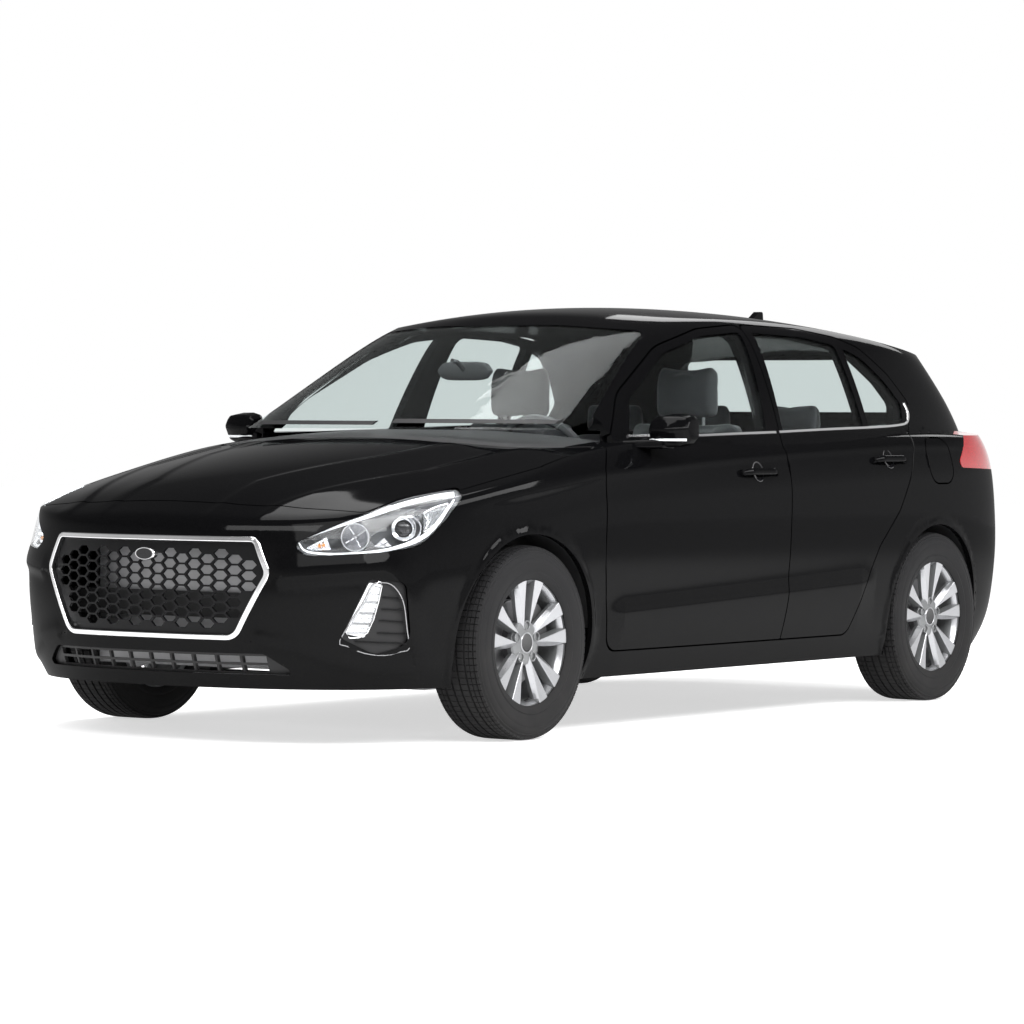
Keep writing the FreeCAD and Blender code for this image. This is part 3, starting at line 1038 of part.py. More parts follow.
def build_seats():
    seat = seat_form(SEAT_WIDTH, SEAT_X)
    rail = box(SEAT_X - SEAT_DEPTH * 0.4, SEAT_X + SEAT_DEPTH * 0.4, -SEAT_WIDTH * 0.4, SEAT_WIDTH * 0.4,
               FLOOR_Z + FLOOR_PLATE + SEAT_CLEARANCE, BASE_TOP + SEAT_ROUND)
    seat = seat.fuse(rail)
    seat.translate(V(0, STEER_Y, 0))
    out("front_seats", both_sides(seat))
    points = [(BENCH_X + x * SEAT_DEPTH, BENCH_BASE + z * SEAT_BACK) for x, z in BENCH_SHARES]
    bench = prism(points, [SEAT_ROUND] * len(points), lambda p: V(p.x, -BENCH_HALF, p.y), lambda p: V(p.x, BENCH_HALF, p.y))
    rests = []
    for y in (-BENCH_HALF * 0.62, 0.0, BENCH_HALF * 0.62):
        ring = [(BENCH_X + x * SEAT_DEPTH, BENCH_BASE + z * SEAT_BACK) for x, z in BENCH_REST_SHARES]
        rests.append(prism(ring, [SEAT_ROUND / 2] * len(ring), lambda p: V(p.x, y - SEAT_WIDTH / 4, p.y),
                           lambda p: V(p.x, y + SEAT_WIDTH / 4, p.y)))
    bench = bench.fuse(rests).cut(arch_cut(LINER_SET + LINER + SEAT_CLEARANCE))
    foot = box(KICK_X + SEAT_CLEARANCE, BENCH_X + SEAT_DEPTH * 0.4, -BENCH_HALF * 0.8, BENCH_HALF * 0.8,
               FLOOR_Z + TUNNEL_HEIGHT + SEAT_CLEARANCE, BENCH_BASE + SEAT_ROUND)
    step = box(-LENGTH, KICK_X + SEAT_CLEARANCE, -WIDTH, WIDTH, 0, BOOT_FLOOR_Z + FLOOR_PLATE + SEAT_CLEARANCE)
    out("rear_bench", largest(bench.fuse(foot).cut(step).common(CABIN_ROOM)))


BENCH_X = -850.0
BENCH_BASE = 410.0
BENCH_HALF = 640.0
BENCH_SHARES = ((0.50, 0.0), (0.50, 0.20), (-0.18, 0.12), (-0.44, 0.82), (-0.62, 0.82), (-0.50, 0.12), (-0.30, 0.0))
BENCH_REST_SHARES = ((-0.45, 0.80), (-0.46, 0.98), (-0.60, 0.98), (-0.62, 0.80))


def build_dashboard():
    points = [(x * LENGTH / 2, z * HEIGHT) for x, z in DASH_SHARES]
    form = prism(points, [SEAT_ROUND] * len(points), lambda p: V(p.x, -WIDTH, p.y), lambda p: V(p.x, WIDTH, p.y))
    dash = form.common(CABIN_ROOM)
    console = box(CONSOLE_BACK, DASH_SHARES[0][0] * LENGTH / 2, -TUNNEL_HALF * 0.8, TUNNEL_HALF * 0.8,
                  FLOOR_Z + TUNNEL_HEIGHT + SEAT_CLEARANCE, FLOOR_Z + TUNNEL_HEIGHT + CONSOLE_HEIGHT)
    a = math.radians(STEER_TILT)
    bore = Part.makeCylinder(COLUMN_RADIUS + SEAT_CLEARANCE, COLUMN_LENGTH + SHUT_GAP, V(STEER_X, STEER_Y, STEER_Z),
                             V(math.cos(a), 0, -math.sin(a)))
    dash = dash.fuse(console).cut(bore)
    out("dashboard", largest(dash))


CONSOLE_BACK = 120.0
CONSOLE_HEIGHT = 200.0
DASH_SHARES = ((0.395, 0.380), (0.395, 0.640), (0.330, 0.655), (0.270, 0.640), (0.262, 0.560), (0.300, 0.400))


def build_steering_wheel():
    tilt = FreeCAD.Rotation(V(0, 1, 0), STEER_TILT)
    r, s = WHEEL_RIM_RADIUS, WHEEL_RIM_SECTION
    ring = [V(s * math.cos(math.radians(a)), r + s * math.sin(math.radians(a)), 0) for a in range(0, 360, 60)]
    rim = Part.Face(Part.makePolygon(ring + ring[:1])).revolve(V(0, 0, 0), V(1, 0, 0), 360)
    boss = Part.makeCylinder(STEER_BOSS_RADIUS, STEER_BOSS_DEPTH, V(-STEER_BOSS_DEPTH / 2, 0, 0), V(1, 0, 0))
    pieces = [boss]
    for angle in (0, 180, 270):
        arm = box(-s / 2, s / 2, STEER_BOSS_RADIUS * 0.8, r, -s, s)
        arm.rotate(V(0, 0, 0), V(1, 0, 0), angle)
        pieces.append(arm)
    pieces.append(Part.makeCylinder(COLUMN_RADIUS, COLUMN_LENGTH, V(0, 0, 0), V(1, 0, 0)))
    shape = rim.fuse(pieces)
    shape.Placement = FreeCAD.Placement(V(STEER_X, STEER_Y, STEER_Z), tilt)
    out("steering_wheel", shape)


def build_mirrors():
    """Door mirror: arm on the door's shoulder and rounded head."""
    points = [(x * MIRROR_DEPTH, z * MIRROR_HEIGHT) for x, z in MIRROR_SHARES]
    wires = []
    for y, scale, lift in MIRROR_SPAN_SHARES:
        ring = [(MIRROR_X + px * scale - y * MIRROR_SWEEP, MIRROR_Z + pz * scale + lift * MIRROR_HEIGHT)
                for px, pz in points]
        radii = [MIRROR_HEIGHT * 0.2 * scale] * len(ring)
        wires.append(corner_wire(ring, radii, lambda p, y=y: V(p.x, MIRROR_Y + y * MIRROR_SPAN, p.y)))
    head = Part.makeLoft(wires, True, True)
    foot = [(x * MIRROR_FOOT_LENGTH + MIRROR_FOOT_X, z * MIRROR_FOOT_LENGTH + MIRROR_FOOT_Z)
            for x, z in MIRROR_FOOT_SHARES]
    radii = [MIRROR_HEIGHT * 0.06] * len(foot)
    tip = [(x + MIRROR_X - MIRROR_FOOT_X, z + MIRROR_FOOT_RISE) for x, z in foot]
    arm = Part.makeLoft([corner_wire(foot, radii, lambda p: V(p.x, MIRROR_Y - MIRROR_SPAN * 0.5, p.y)),
                         corner_wire(tip, radii, lambda p: V(p.x, MIRROR_Y + MIRROR_SPAN * 0.4, p.y))],
                        True, True)
    shape = largest(head.fuse(arm).cut(hull(-SEAT_CLEARANCE)))
    out("mirror_left", shape)
    out("mirror_right", mirrored(shape))


MIRROR_X = 520.0
MIRROR_Y = 856.0
MIRROR_Z = 1004.0
MIRROR_DEPTH = 112.0
MIRROR_HEIGHT = 122.0
MIRROR_SPAN = 140.0
MIRROR_SWEEP = 26.0
MIRROR_FOOT_X = 575.0
MIRROR_FOOT_Z = 956.0
MIRROR_FOOT_LENGTH = 76.0
MIRROR_FOOT_RISE = 6.0
MIRROR_SHARES = ((0.5, 0.02), (0.25, 0.40), (-0.5, 0.5), (-0.5, -0.44), (0.2, -0.46))
MIRROR_SPAN_SHARES = ((0.0, 0.66, 0.0), (0.10, 0.88, 0.0), (0.35, 1.0, 0.0), (0.70, 0.97, 0.01),
                      (0.90, 0.84, 0.03), (1.0, 0.62, 0.05))
MIRROR_FOOT_SHARES = ((0.5, -0.18), (0.5, 0.18), (-0.5, 0.22), (-0.5, -0.22))


def build_wipers():
    arms = []
    for y0, y1, lift in WIPER_SHARES:
        blade = box(0, LENGTH, y0 * WIDTH / 2, y1 * WIDTH / 2, lift * HEIGHT, lift * HEIGHT + WIPER_HEIGHT)
        skin = cabin_net(-WIPER_THICKNESS).cut(cabin_net(GLASS_SINK - SEAT_CLEARANCE))
        arms.append(largest(skin.common(blade)))
    out("wipers", Part.makeCompound(arms))


WIPER_SHARES = ((-0.62, 0.02, 0.700), (0.10, 0.72, 0.705))
WIPER_HEIGHT = 14.0
WIPER_THICKNESS = 12.0


def build_fin():
    points = [(FIN_X + x * FIN_LENGTH, FIN_Z + z * FIN_HEIGHT) for x, z in FIN_SHARES]
    wire_mid = corner_wire(points, [FIN_HEIGHT * 0.1] * len(points), lambda p: V(p.x, -FIN_WIDTH / 2, p.y))
    wire_side = corner_wire(points, [FIN_HEIGHT * 0.1] * len(points), lambda p: V(p.x, FIN_WIDTH / 2, p.y))
    fin = Part.makeLoft([wire_mid, wire_side], True, True)
    out("antenna_fin", largest(fin.cut(crowned(ROOF_SHARES, -SEAT_CLEARANCE, HEIGHT))))


FIN_X = -1480.0
FIN_Z = 1370.0
FIN_LENGTH = 150.0
FIN_HEIGHT = 100.0
FIN_WIDTH = 26.0
FIN_SHARES = ((0.5, 0.0), (0.5, 0.3), (-0.25, 1.0), (-0.42, 1.0), (-0.5, 0.0))


def build_exhaust():
    z = FLOOR_Z + TUNNEL_HEIGHT / 3
    pipe = Part.makeCylinder(PIPE_RADIUS, front_axle() - rear_axle() - OVERRUN * 2, V(rear_axle() - OVERRUN * 6, 0, z), V(1, 0, 0))
    box_x = rear_axle() - OVERRUN * 6
    muffler = box(box_x - MUFFLER_LENGTH, box_x, -MUFFLER_WIDTH / 2, MUFFLER_WIDTH / 2, z - MUFFLER_HEIGHT / 3, z + MUFFLER_HEIGHT * 2 / 3)
    hanger = box(box_x - MUFFLER_LENGTH / 2, box_x - MUFFLER_LENGTH / 2 + PIPE_RADIUS, -PIPE_RADIUS / 2, PIPE_RADIUS / 2,
                 z, BOOT_FLOOR_Z - SEAT_CLEARANCE)
    tail = Part.makeCylinder(PIPE_RADIUS, MUFFLER_LENGTH * 0.6, V(box_x - MUFFLER_LENGTH * 1.5, MUFFLER_WIDTH / 3, z), V(1, 0, 0))
    out("exhaust", pipe.fuse([muffler, hanger, tail]))


PIPE_RADIUS = 26.0
MUFFLER_LENGTH = 260.0
MUFFLER_WIDTH = 520.0
MUFFLER_HEIGHT = 150.0

BUILDERS = (
    build_bonnet, build_front_bumper, build_front_fenders, build_side_frames, build_rear_bumper, build_roof,
    build_doors, build_tailgate, build_screens, build_bulkhead, build_floor, build_wheel_housings,
    build_grille, build_lower_grille, build_front_lamps, build_wheels, build_knuckles,
    build_front_suspension, build_rear_axle, build_engine, build_radiator, build_seats, build_dashboard,
    build_steering_wheel, build_mirrors, build_wipers, build_fin, build_exhaust,
)

if __name__ == "__main__":
    for builder in BUILDERS:
        builder()
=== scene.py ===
"""Looks of the hatchback car: panels, glass, lamps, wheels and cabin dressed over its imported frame."""
import json
import logging
import math
from dataclasses import dataclass, field
from enum import Enum
from typing import Callable, Iterable, Sequence

import bmesh
import bpy
import numpy as np
from mathutils import Matrix, Vector
from mathutils.bvhtree import BVHTree


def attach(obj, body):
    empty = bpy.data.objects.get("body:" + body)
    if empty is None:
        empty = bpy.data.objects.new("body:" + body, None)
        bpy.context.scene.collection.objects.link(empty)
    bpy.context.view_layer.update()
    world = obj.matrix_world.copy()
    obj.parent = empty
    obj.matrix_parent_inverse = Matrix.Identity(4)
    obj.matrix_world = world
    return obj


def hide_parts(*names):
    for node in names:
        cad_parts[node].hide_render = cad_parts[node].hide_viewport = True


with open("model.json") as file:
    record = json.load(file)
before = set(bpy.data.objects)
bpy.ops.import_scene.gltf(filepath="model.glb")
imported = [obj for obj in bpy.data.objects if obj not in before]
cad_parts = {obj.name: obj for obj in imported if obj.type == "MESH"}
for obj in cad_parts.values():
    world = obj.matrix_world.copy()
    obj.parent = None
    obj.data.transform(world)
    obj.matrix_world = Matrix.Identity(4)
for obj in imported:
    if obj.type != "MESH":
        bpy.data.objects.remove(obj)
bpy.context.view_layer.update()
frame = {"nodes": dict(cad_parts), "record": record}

LOG = logging.getLogger("hatchback")

Point = tuple[float, float, float]
Colour = tuple[float, float, float]

LENGTH, WIDTH, HEIGHT = 4.340, 1.795, 1.455
FRONT_AXLE, REAR_AXLE = 1.265, -1.385
TRACK_HALF = 0.783
WHEEL_Z = 0.316
WHEEL_CORNERS = (("front_left", FRONT_AXLE, 1), ("front_right", FRONT_AXLE, -1),
                 ("rear_left", REAR_AXLE, 1), ("rear_right", REAR_AXLE, -1))


class Detail(Enum):
    """The fine surface of a finish."""

    GRAIN = "grain"
    FLAKE = "flake"
    WEAVE = "weave"
    BRUSHED = "brushed"
    CAST = "cast"


@dataclass(frozen=True)
class Finish:
    """One finish: its plain values and the fine detail over them."""

    name: str
    colour: Colour
    roughness: float
    metallic: float = 0.0
    specular: float = 0.5
    coat: float = 0.0
    coat_roughness: float = 0.03
    transmission: float = 0.0
    ior: float = 1.45
    detail: Detail = Detail.GRAIN
    scale: float = 400.0
    depth: float = 0.00002
    tint: float = 0.12
    wear: float = 0.08
    dust: float = 0.0
    glow: float = 0.0
    sheen: float = 0.0


PAINT = Finish("Black paint", (0.0022, 0.0022, 0.0025), 0.30, specular=0.0, coat=0.17, coat_roughness=0.06,
               detail=Detail.FLAKE, scale=1500.0, depth=0.0, tint=0.6, wear=0.05, dust=0.008)
GLASS = Finish("Window glass", (0.765, 0.815, 0.808), 0.0, transmission=1.0, ior=1.0, coat=0.15,
               coat_roughness=0.0,
               scale=60.0, depth=0.0, tint=0.01, wear=0.0)
CLEAR = Finish("Lamp glass", (0.96, 0.97, 0.98), 0.0, transmission=1.0, ior=1.0, coat=0.5, coat_roughness=0.0,
               scale=60.0, depth=0.0, tint=0.01, wear=0.0)
TRIM = Finish("Black plastic", (0.012, 0.012, 0.013), 0.55, specular=0.35, scale=900.0, depth=0.00006,
              dust=0.04)
GLOSS = Finish("Gloss black", (0.006, 0.006, 0.007), 0.12, coat=0.4, scale=500.0, depth=0.0, wear=0.05)
CHROME = Finish("Bright trim", (0.80, 0.80, 0.81), 0.14, metallic=1.0, detail=Detail.BRUSHED, scale=300.0,
                depth=0.000004, tint=0.06, wear=0.06)
ALLOY = Finish("Machined alloy", (0.43, 0.435, 0.45), 0.30, metallic=0.85, detail=Detail.BRUSHED, scale=260.0,
               depth=0.000008, tint=0.08, wear=0.08, dust=0.06)
POCKET = Finish("Grey wheel pocket", (0.20, 0.205, 0.21), 0.42, metallic=0.6, scale=700.0, depth=0.00002,
                wear=0.06, dust=0.1)
RUBBER = Finish("Tyre rubber", (0.008, 0.008, 0.009), 0.78, specular=0.25, scale=700.0, depth=0.00008,
                tint=0.25,
                dust=0.05)
STEEL = Finish("Brushed steel", (0.36, 0.36, 0.37), 0.38, metallic=0.9, detail=Detail.BRUSHED, scale=200.0,
               depth=0.00001, wear=0.1, dust=0.1)
IRON = Finish("Cast iron", (0.13, 0.13, 0.135), 0.62, metallic=0.7, detail=Detail.CAST, scale=260.0,
              depth=0.00025, tint=0.3, wear=0.15, dust=0.15)
FABRIC = Finish("Woven cloth", (0.055, 0.055, 0.060), 0.92, specular=0.2, detail=Detail.WEAVE, scale=420.0,
                depth=0.00022, tint=0.35, sheen=0.25)
CABIN = Finish("Cabin plastic", (0.035, 0.035, 0.038), 0.66, scale=1100.0, depth=0.00008, tint=0.2)
RED_LENS = Finish("Red lens", (0.30, 0.003, 0.006), 0.10, coat=0.6, scale=300.0, depth=0.0, tint=0.25,
                  wear=0.03)
LAMP_DARK = Finish("Lamp bezel", (0.075, 0.077, 0.082), 0.34, metallic=0.3, scale=500.0, depth=0.00001)
REFLECTOR = Finish("Lamp reflector", (0.78, 0.79, 0.81), 0.10, metallic=1.0, scale=300.0, depth=0.0,
                   tint=0.05,
                   wear=0.05)
LIGHT_GUIDE = Finish("Light guide", (0.80, 0.82, 0.84), 0.25, scale=300.0, depth=0.00001, tint=0.05,
                     glow=0.25)
GLOSS_EDGE = Finish("Satin black", (0.005, 0.005, 0.0055), 0.34, specular=0.14, coat=0.06, scale=500.0,
                    depth=0.0,
                    wear=0.06)
LENS_GREY = Finish("Grey lens", (0.30, 0.31, 0.32), 0.12, metallic=0.6, coat=0.5, scale=300.0, depth=0.0,
                   tint=0.1)
AMBER = Finish("Amber bulb", (0.55, 0.22, 0.05), 0.2, scale=300.0, depth=0.0)
# Near-black used only for the disc at the bottom of each lug well: painted shade in the bore round the nut.
LUG_WELL_SHADE = Finish("Painted well shade", (0.004, 0.004, 0.005), 0.35, scale=400.0, depth=0.0)


DUST_COLOUR: Colour = (0.30, 0.28, 0.25)


def calc(tree: bpy.types.NodeTree, operation: str, *values: object) -> bpy.types.NodeSocket:
    """Add a math node to a tree.

    Args:
        tree: The node tree.
        operation: What the node works out.
        values: Its inputs in order, each a socket of another node or a plain number.

    Returns:
        The socket with the result.
    """
    node = tree.nodes.new("ShaderNodeMath")
    node.operation = operation
    for slot, value in zip(node.inputs, values):
        if isinstance(value, (int, float)):
            slot.default_value = value
        else:
            tree.links.new(value, slot)
    return node.outputs[0]


class Library:
    """Node groups and materials, each built once."""

    def __init__(self) -> None:
        """Start with nothing built."""
        self.materials: dict[str, bpy.types.Material] = {}
        self.groups: dict[str, bpy.types.NodeTree] = {}

    def group(self, name: str, inputs: Sequence[tuple[str, str, object]],
              outputs: Sequence[tuple[str, str]]) -> tuple[bpy.types.NodeTree, object, object]:
        """Make an empty node group with its sockets.

        Args:
            name: The group's name.
            inputs: Name, socket type and starting value of each input.
            outputs: Name and socket type of each output.

        Returns:
            The tree with its input and output nodes.
        """
        tree = bpy.data.node_groups.new(name, "ShaderNodeTree")
        for label, kind, value in inputs:
            tree.interface.new_socket(label, in_out="INPUT", socket_type=kind).default_value = value
        for label, kind in outputs:
            tree.interface.new_socket(label, in_out="OUTPUT", socket_type=kind)
        return tree, tree.nodes.new("NodeGroupInput"), tree.nodes.new("NodeGroupOutput")

    def detail(self, kind: Detail) -> bpy.types.NodeTree:
        """Build or fetch the group that draws one kind of fine surface.

        Args:
            kind: The fine surface wanted.

        Returns:
            A group with Scale in, Mask and Height out.
        """
        if kind.value in self.groups:
            return self.groups[kind.value]
        tree, source, sink = self.group("Surface " + kind.value, [("Scale", "NodeSocketFloat", 400.0)],
                                        [("Mask", "NodeSocketFloat"), ("Height", "NodeSocketFloat")])
        nodes, links = tree.nodes, tree.links
        place = nodes.new("ShaderNodeTexCoord")
        fine = nodes.new("ShaderNodeTexNoise")
        fine.inputs["Detail"].default_value = 4.0
        links.new(source.outputs["Scale"], fine.inputs["Scale"])
        vector = place.outputs["Object"]
        if kind is Detail.BRUSHED:
            stretch = nodes.new("ShaderNodeVectorMath")
            stretch.operation = "MULTIPLY"
            stretch.inputs[1].default_value = (1.0, 0.04, 1.0)
            links.new(vector, stretch.inputs[0])
            vector = stretch.outputs[0]
        links.new(vector, fine.inputs["Vector"])
        mask, height = fine.outputs["Fac"], fine.outputs["Fac"]
        if kind in (Detail.FLAKE, Detail.CAST):
            cells = nodes.new("ShaderNodeTexVoronoi")
            links.new(vector, cells.inputs["Vector"])
            links.new(source.outputs["Scale"], cells.inputs["Scale"])
            height = cells.outputs["Distance"]
            if kind is Detail.FLAKE:
                split = nodes.new("ShaderNodeSeparateColor")
                links.new(cells.outputs["Color"], split.inputs[0])
                mask = split.outputs[0]
        if kind is Detail.WEAVE:
            threads = []
            for direction in ("Y", "Z"):
                wave = nodes.new("ShaderNodeTexWave")
                wave.bands_direction = direction
                wave.inputs["Distortion"].default_value = 0.6
                links.new(source.outputs["Scale"], wave.inputs["Scale"])
                links.new(vector, wave.inputs["Vector"])
                threads.append(wave.outputs["Fac"])
            mask = height = calc(tree, "MAXIMUM", *threads)
        links.new(mask, sink.inputs["Mask"])
        links.new(height, sink.inputs["Height"])
        self.groups[kind.value] = tree
        return tree

    def dust(self) -> bpy.types.NodeTree:
        """Build or fetch the group that gathers road dust low on the car.

        Returns:
            A group with Amount in and Mask out.
        """
        if "dust" in self.groups:
            return self.groups["dust"]
        tree, source, sink = self.group("Road dust", [("Amount", "NodeSocketFloat", 0.1)],
                                        [("Mask", "NodeSocketFloat")])
        nodes, links = tree.nodes, tree.links
        place, split = nodes.new("ShaderNodeTexCoord"), nodes.new("ShaderNodeSeparateXYZ")
        links.new(place.outputs["Object"], split.inputs[0])
        low = nodes.new("ShaderNodeMapRange")
        low.inputs["From Min"].default_value = 0.75
        low.inputs["From Max"].default_value = 0.05
        links.new(split.outputs["Z"], low.inputs["Value"])
        cloud = nodes.new("ShaderNodeTexNoise")
        cloud.inputs["Scale"].default_value = 9.0
        cloud.inputs["Detail"].default_value = 6.0
        links.new(place.outputs["Object"], cloud.inputs["Vector"])
        both = calc(tree, "MULTIPLY", low.outputs["Result"], cloud.outputs["Fac"])
        links.new(calc(tree, "MULTIPLY", both, source.outputs["Amount"]), sink.inputs["Mask"])
        self.groups["dust"] = tree
        return tree

    def material(self, finish: Finish) -> bpy.types.Material:
        """Build or fetch the material of a finish.

        Args:
            finish: The finish wanted.

        Returns:
            Its material.
        """
        if finish.name in self.materials:
            return self.materials[finish.name]
        made = bpy.data.materials.new(finish.name)
        made.use_nodes = True
        nodes, links = made.node_tree.nodes, made.node_tree.links
        shader = nodes["Principled BSDF"]
        for socket, value in (("Metallic", finish.metallic), ("Specular IOR Level", finish.specular),
                              ("Coat Weight", finish.coat), ("Coat Roughness", finish.coat_roughness),
                              ("Transmission Weight", finish.transmission), ("IOR", finish.ior),
                              ("Sheen Weight", finish.sheen)):
            shader.inputs[socket].default_value = value
        fine = nodes.new("ShaderNodeGroup")
        fine.node_tree = self.detail(finish.detail)
        fine.inputs["Scale"].default_value = finish.scale
        tone = nodes.new("ShaderNodeMix")
        tone.data_type = "RGBA"
        tone.inputs[6].default_value = (*[c * (1 - finish.tint) for c in finish.colour], 1)
        tone.inputs[7].default_value = (*[min(c * (1 + finish.tint), 1.0) for c in finish.colour], 1)
        links.new(fine.outputs["Mask"], tone.inputs[0])
        colour = tone.outputs[2]
        rough = nodes.new("ShaderNodeMapRange")
        rough.inputs["To Min"].default_value = max(finish.roughness - finish.wear, 0.0)
        rough.inputs["To Max"].default_value = min(finish.roughness + finish.wear, 1.0)
        links.new(fine.outputs["Mask"], rough.inputs["Value"])
        roughness = rough.outputs["Result"]
        if finish.dust:
            film = nodes.new("ShaderNodeGroup")
            film.node_tree = self.dust()
            film.inputs["Amount"].default_value = finish.dust
            coated = nodes.new("ShaderNodeMix")
            coated.data_type = "RGBA"
            coated.inputs[7].default_value = (*DUST_COLOUR, 1)
            links.new(film.outputs["Mask"], coated.inputs[0])
            links.new(colour, coated.inputs[6])
            colour = coated.outputs[2]
        links.new(colour, shader.inputs["Base Color"])
        links.new(roughness, shader.inputs["Roughness"])
        if finish.depth:
            bump = nodes.new("ShaderNodeBump")
            bump.inputs["Distance"].default_value = finish.depth
            links.new(fine.outputs["Height"], bump.inputs["Height"])
            links.new(bump.outputs["Normal"], shader.inputs["Normal"])
        if finish.glow:
            links.new(colour, shader.inputs["Emission Color"])
            shader.inputs["Emission Strength"].default_value = finish.glow
        self.materials[finish.name] = made
        return made


LIBRARY = Library()


def basis(knots: np.ndarray, count: int, t: np.ndarray) -> np.ndarray:
    """Cubic spline basis values.

    Args:
        knots: The knot row.
        count: How many control points it serves.
        t: Places along the row.

    Returns:
        One row of weights for each place.
    """
    t = np.clip(t, knots[3], knots[count] - 1e-9)[:, None]
    k = knots[None, :]
    value = ((t >= k[:, :-1]) & (t < k[:, 1:])).astype(float)
    for degree in (1, 2, 3):
        span = value.shape[1] - 1
        low = k[:, degree:degree + span] - k[:, :span]
        high = k[:, degree + 1:degree + 1 + span] - k[:, 1:1 + span]
        left = np.where(low > 0, (t - k[:, :span]) / np.where(low > 0, low, 1), 0)
        right = np.where(high > 0, (k[:, degree + 1:degree + 1 + span] - t) / np.where(high > 0, high, 1), 0)
        value = left * value[:, :span] + right * value[:, 1:1 + span]
    return value[:, :count]


def clamped(count: int, samples: int) -> np.ndarray:
    """Weights for an open row of control points, from end to end."""
    knots = np.concatenate(([0] * 3, np.arange(count - 2), [count - 3] * 3)).astype(float)
    return basis(knots, count, np.linspace(0, count - 3, samples))


def closed(count: int, samples: int) -> np.ndarray:
    """Weights for a closed ring of control points."""
    knots = np.arange(-3, count + 4).astype(float)
    open_ring = basis(knots, count + 3, np.linspace(0, count, samples, endpoint=False))
    ring = open_ring[:, :count].copy()
    ring[:, :3] += open_ring[:, count:]
    return ring


@dataclass
class Surface:
    """A sampled smooth surface that can be searched for its nearest point."""

    points: np.ndarray
    ring: bool
    tree: BVHTree = field(init=False)
    faces: np.ndarray = field(init=False)
    normals: np.ndarray = field(init=False)

    def __post_init__(self) -> None:
        """Join the samples into faces with outward corner normals."""
        rows, cols = self.points.shape[:2]
        index = np.arange(rows * cols).reshape(rows, cols)
        across = np.roll(index, -1, 1) if self.ring else index[:, 1:]
        base = index if self.ring else index[:, :-1]
        self.faces = np.stack((base[:-1], across[:-1], across[1:], base[1:]), -1).reshape(-1, 4)
        along = np.gradient(self.points, axis=0)
        if self.ring:
            wide = np.roll(self.points, -1, 1) - np.roll(self.points, 1, 1)
        else:
            wide = np.gradient(self.points, axis=1)
        normal = np.cross(wide, along)
        normal /= np.linalg.norm(normal, axis=2, keepdims=True) + 1e-12
        outward = self.points - (self.points.mean((0, 1)) if self.ring else np.array([0, 0, 0]))
        if (normal * outward).sum() < 0:
            normal = -normal
        self.normals = normal.reshape(-1, 3)
        self.tree = BVHTree.FromPolygons(self.points.reshape(-1, 3).tolist(), self.faces.tolist())

    def nearest(self, points: np.ndarray) -> tuple[np.ndarray, np.ndarray, np.ndarray]:
        """Nearest places on the surface.

        Args:
            points: Places to start from.

        Returns:
            The nearest places, the smooth normals there and the distances.
        """
        flat = self.points.reshape(-1, 3)
        spots, normals, gaps = np.empty_like(points), np.empty_like(points), np.empty(len(points))
        for i, point in enumerate(points):
            spot, _, face, gap = self.tree.find_nearest(Vector(point))
            corners = self.faces[face]
            weight = 1 / (np.linalg.norm(flat[corners] - np.array(spot), axis=1) + 1e-6)
            normal = (self.normals[corners] * weight[:, None]).sum(0)
            spots[i], normals[i], gaps[i] = spot, normal / np.linalg.norm(normal), gap
        return spots, normals, gaps


BODY_PLAN = ((1.000, 0.000), (1.000, 0.200), (0.985, 0.400), (0.955, 0.600), (0.900, 0.780), (0.820, 0.900),
             (0.720, 0.960), (0.580, 0.985), (0.400, 0.995), (0.200, 1.000), (0.000, 1.000), (-0.200, 1.000),
             (-0.400, 1.000), (-0.600, 0.994), (-0.780, 0.978), (-0.900, 0.935), (-0.968, 0.820),
             (-0.992, 0.560), (-1.000, 0.260), (-1.000, 0.000))
BODY_ROWS = ((0.126, 0.930, 0.968, 0.945, 0.000, 0.000), (0.160, 0.952, 0.984, 0.965, 0.000, 0.000),
             (0.210, 0.972, 0.996, 0.988, 0.000, 0.005), (0.290, 0.984, 1.002, 0.999, 0.000, 0.010),
             (0.380, 1.000, 1.003, 1.000, 0.000, 0.020), (0.450, 1.000, 0.998, 0.998, 0.005, 0.045),
             (0.520, 1.000, 0.986, 0.990, 0.015, 0.080), (0.585, 0.994, 0.965, 0.980, 0.028, 0.110),
             (0.635, 0.965, 0.940, 0.972, 0.034, 0.120), (0.680, 0.910, 0.905, 0.964, 0.034, 0.120),
             (0.760, 0.800, 0.850, 0.938, 0.000, 0.120))
DECK = ((1.060, 0.440, 0.125), (1.000, 0.492, 0.125), (0.930, 0.545, 0.115), (0.840, 0.590, 0.105),
        (0.700, 0.632, 0.092), (0.560, 0.663, 0.078), (0.440, 0.684, 0.060), (0.300, 0.695, 0.035),
        (0.000, 0.695, 0.020), (-0.400, 0.700, 0.020), (-0.800, 0.715, 0.030), (-1.060, 0.715, 0.050))
CABIN_PLAN = ((0.000, 0.000), (0.002, 0.250), (0.014, 0.500), (0.040, 0.720), (0.085, 0.875), (0.170, 0.955),
              (0.300, 0.990), (0.450, 1.000), (0.600, 1.000), (0.740, 0.985), (0.860, 0.945), (0.935, 0.870),
              (0.975, 0.730), (0.992, 0.480), (1.000, 0.240), (1.000, 0.000))
CABIN_ROWS = ((0.600, 0.610, -0.985, 0.965), (0.660, 0.515, -0.965, 0.945), (0.740, 0.395, -0.938, 0.905),
              (0.820, 0.285, -0.893, 0.855), (0.895, 0.185, -0.850, 0.800), (0.950, 0.105, -0.828, 0.740),
              (0.985, 0.040, -0.815, 0.650), (1.060, -0.060, -0.805, 0.500))
ROOF = ((0.300, 0.900, 0.080), (0.200, 0.925, 0.080), (0.100, 0.962, 0.080), (0.000, 0.987, 0.080),
        (-0.120, 1.001, 0.080), (-0.280, 1.003, 0.080), (-0.450, 0.993, 0.080), (-0.620, 0.971, 0.085),
        (-0.780, 0.940, 0.090), (-0.900, 0.908, 0.095), (-1.000, 0.875, 0.100))
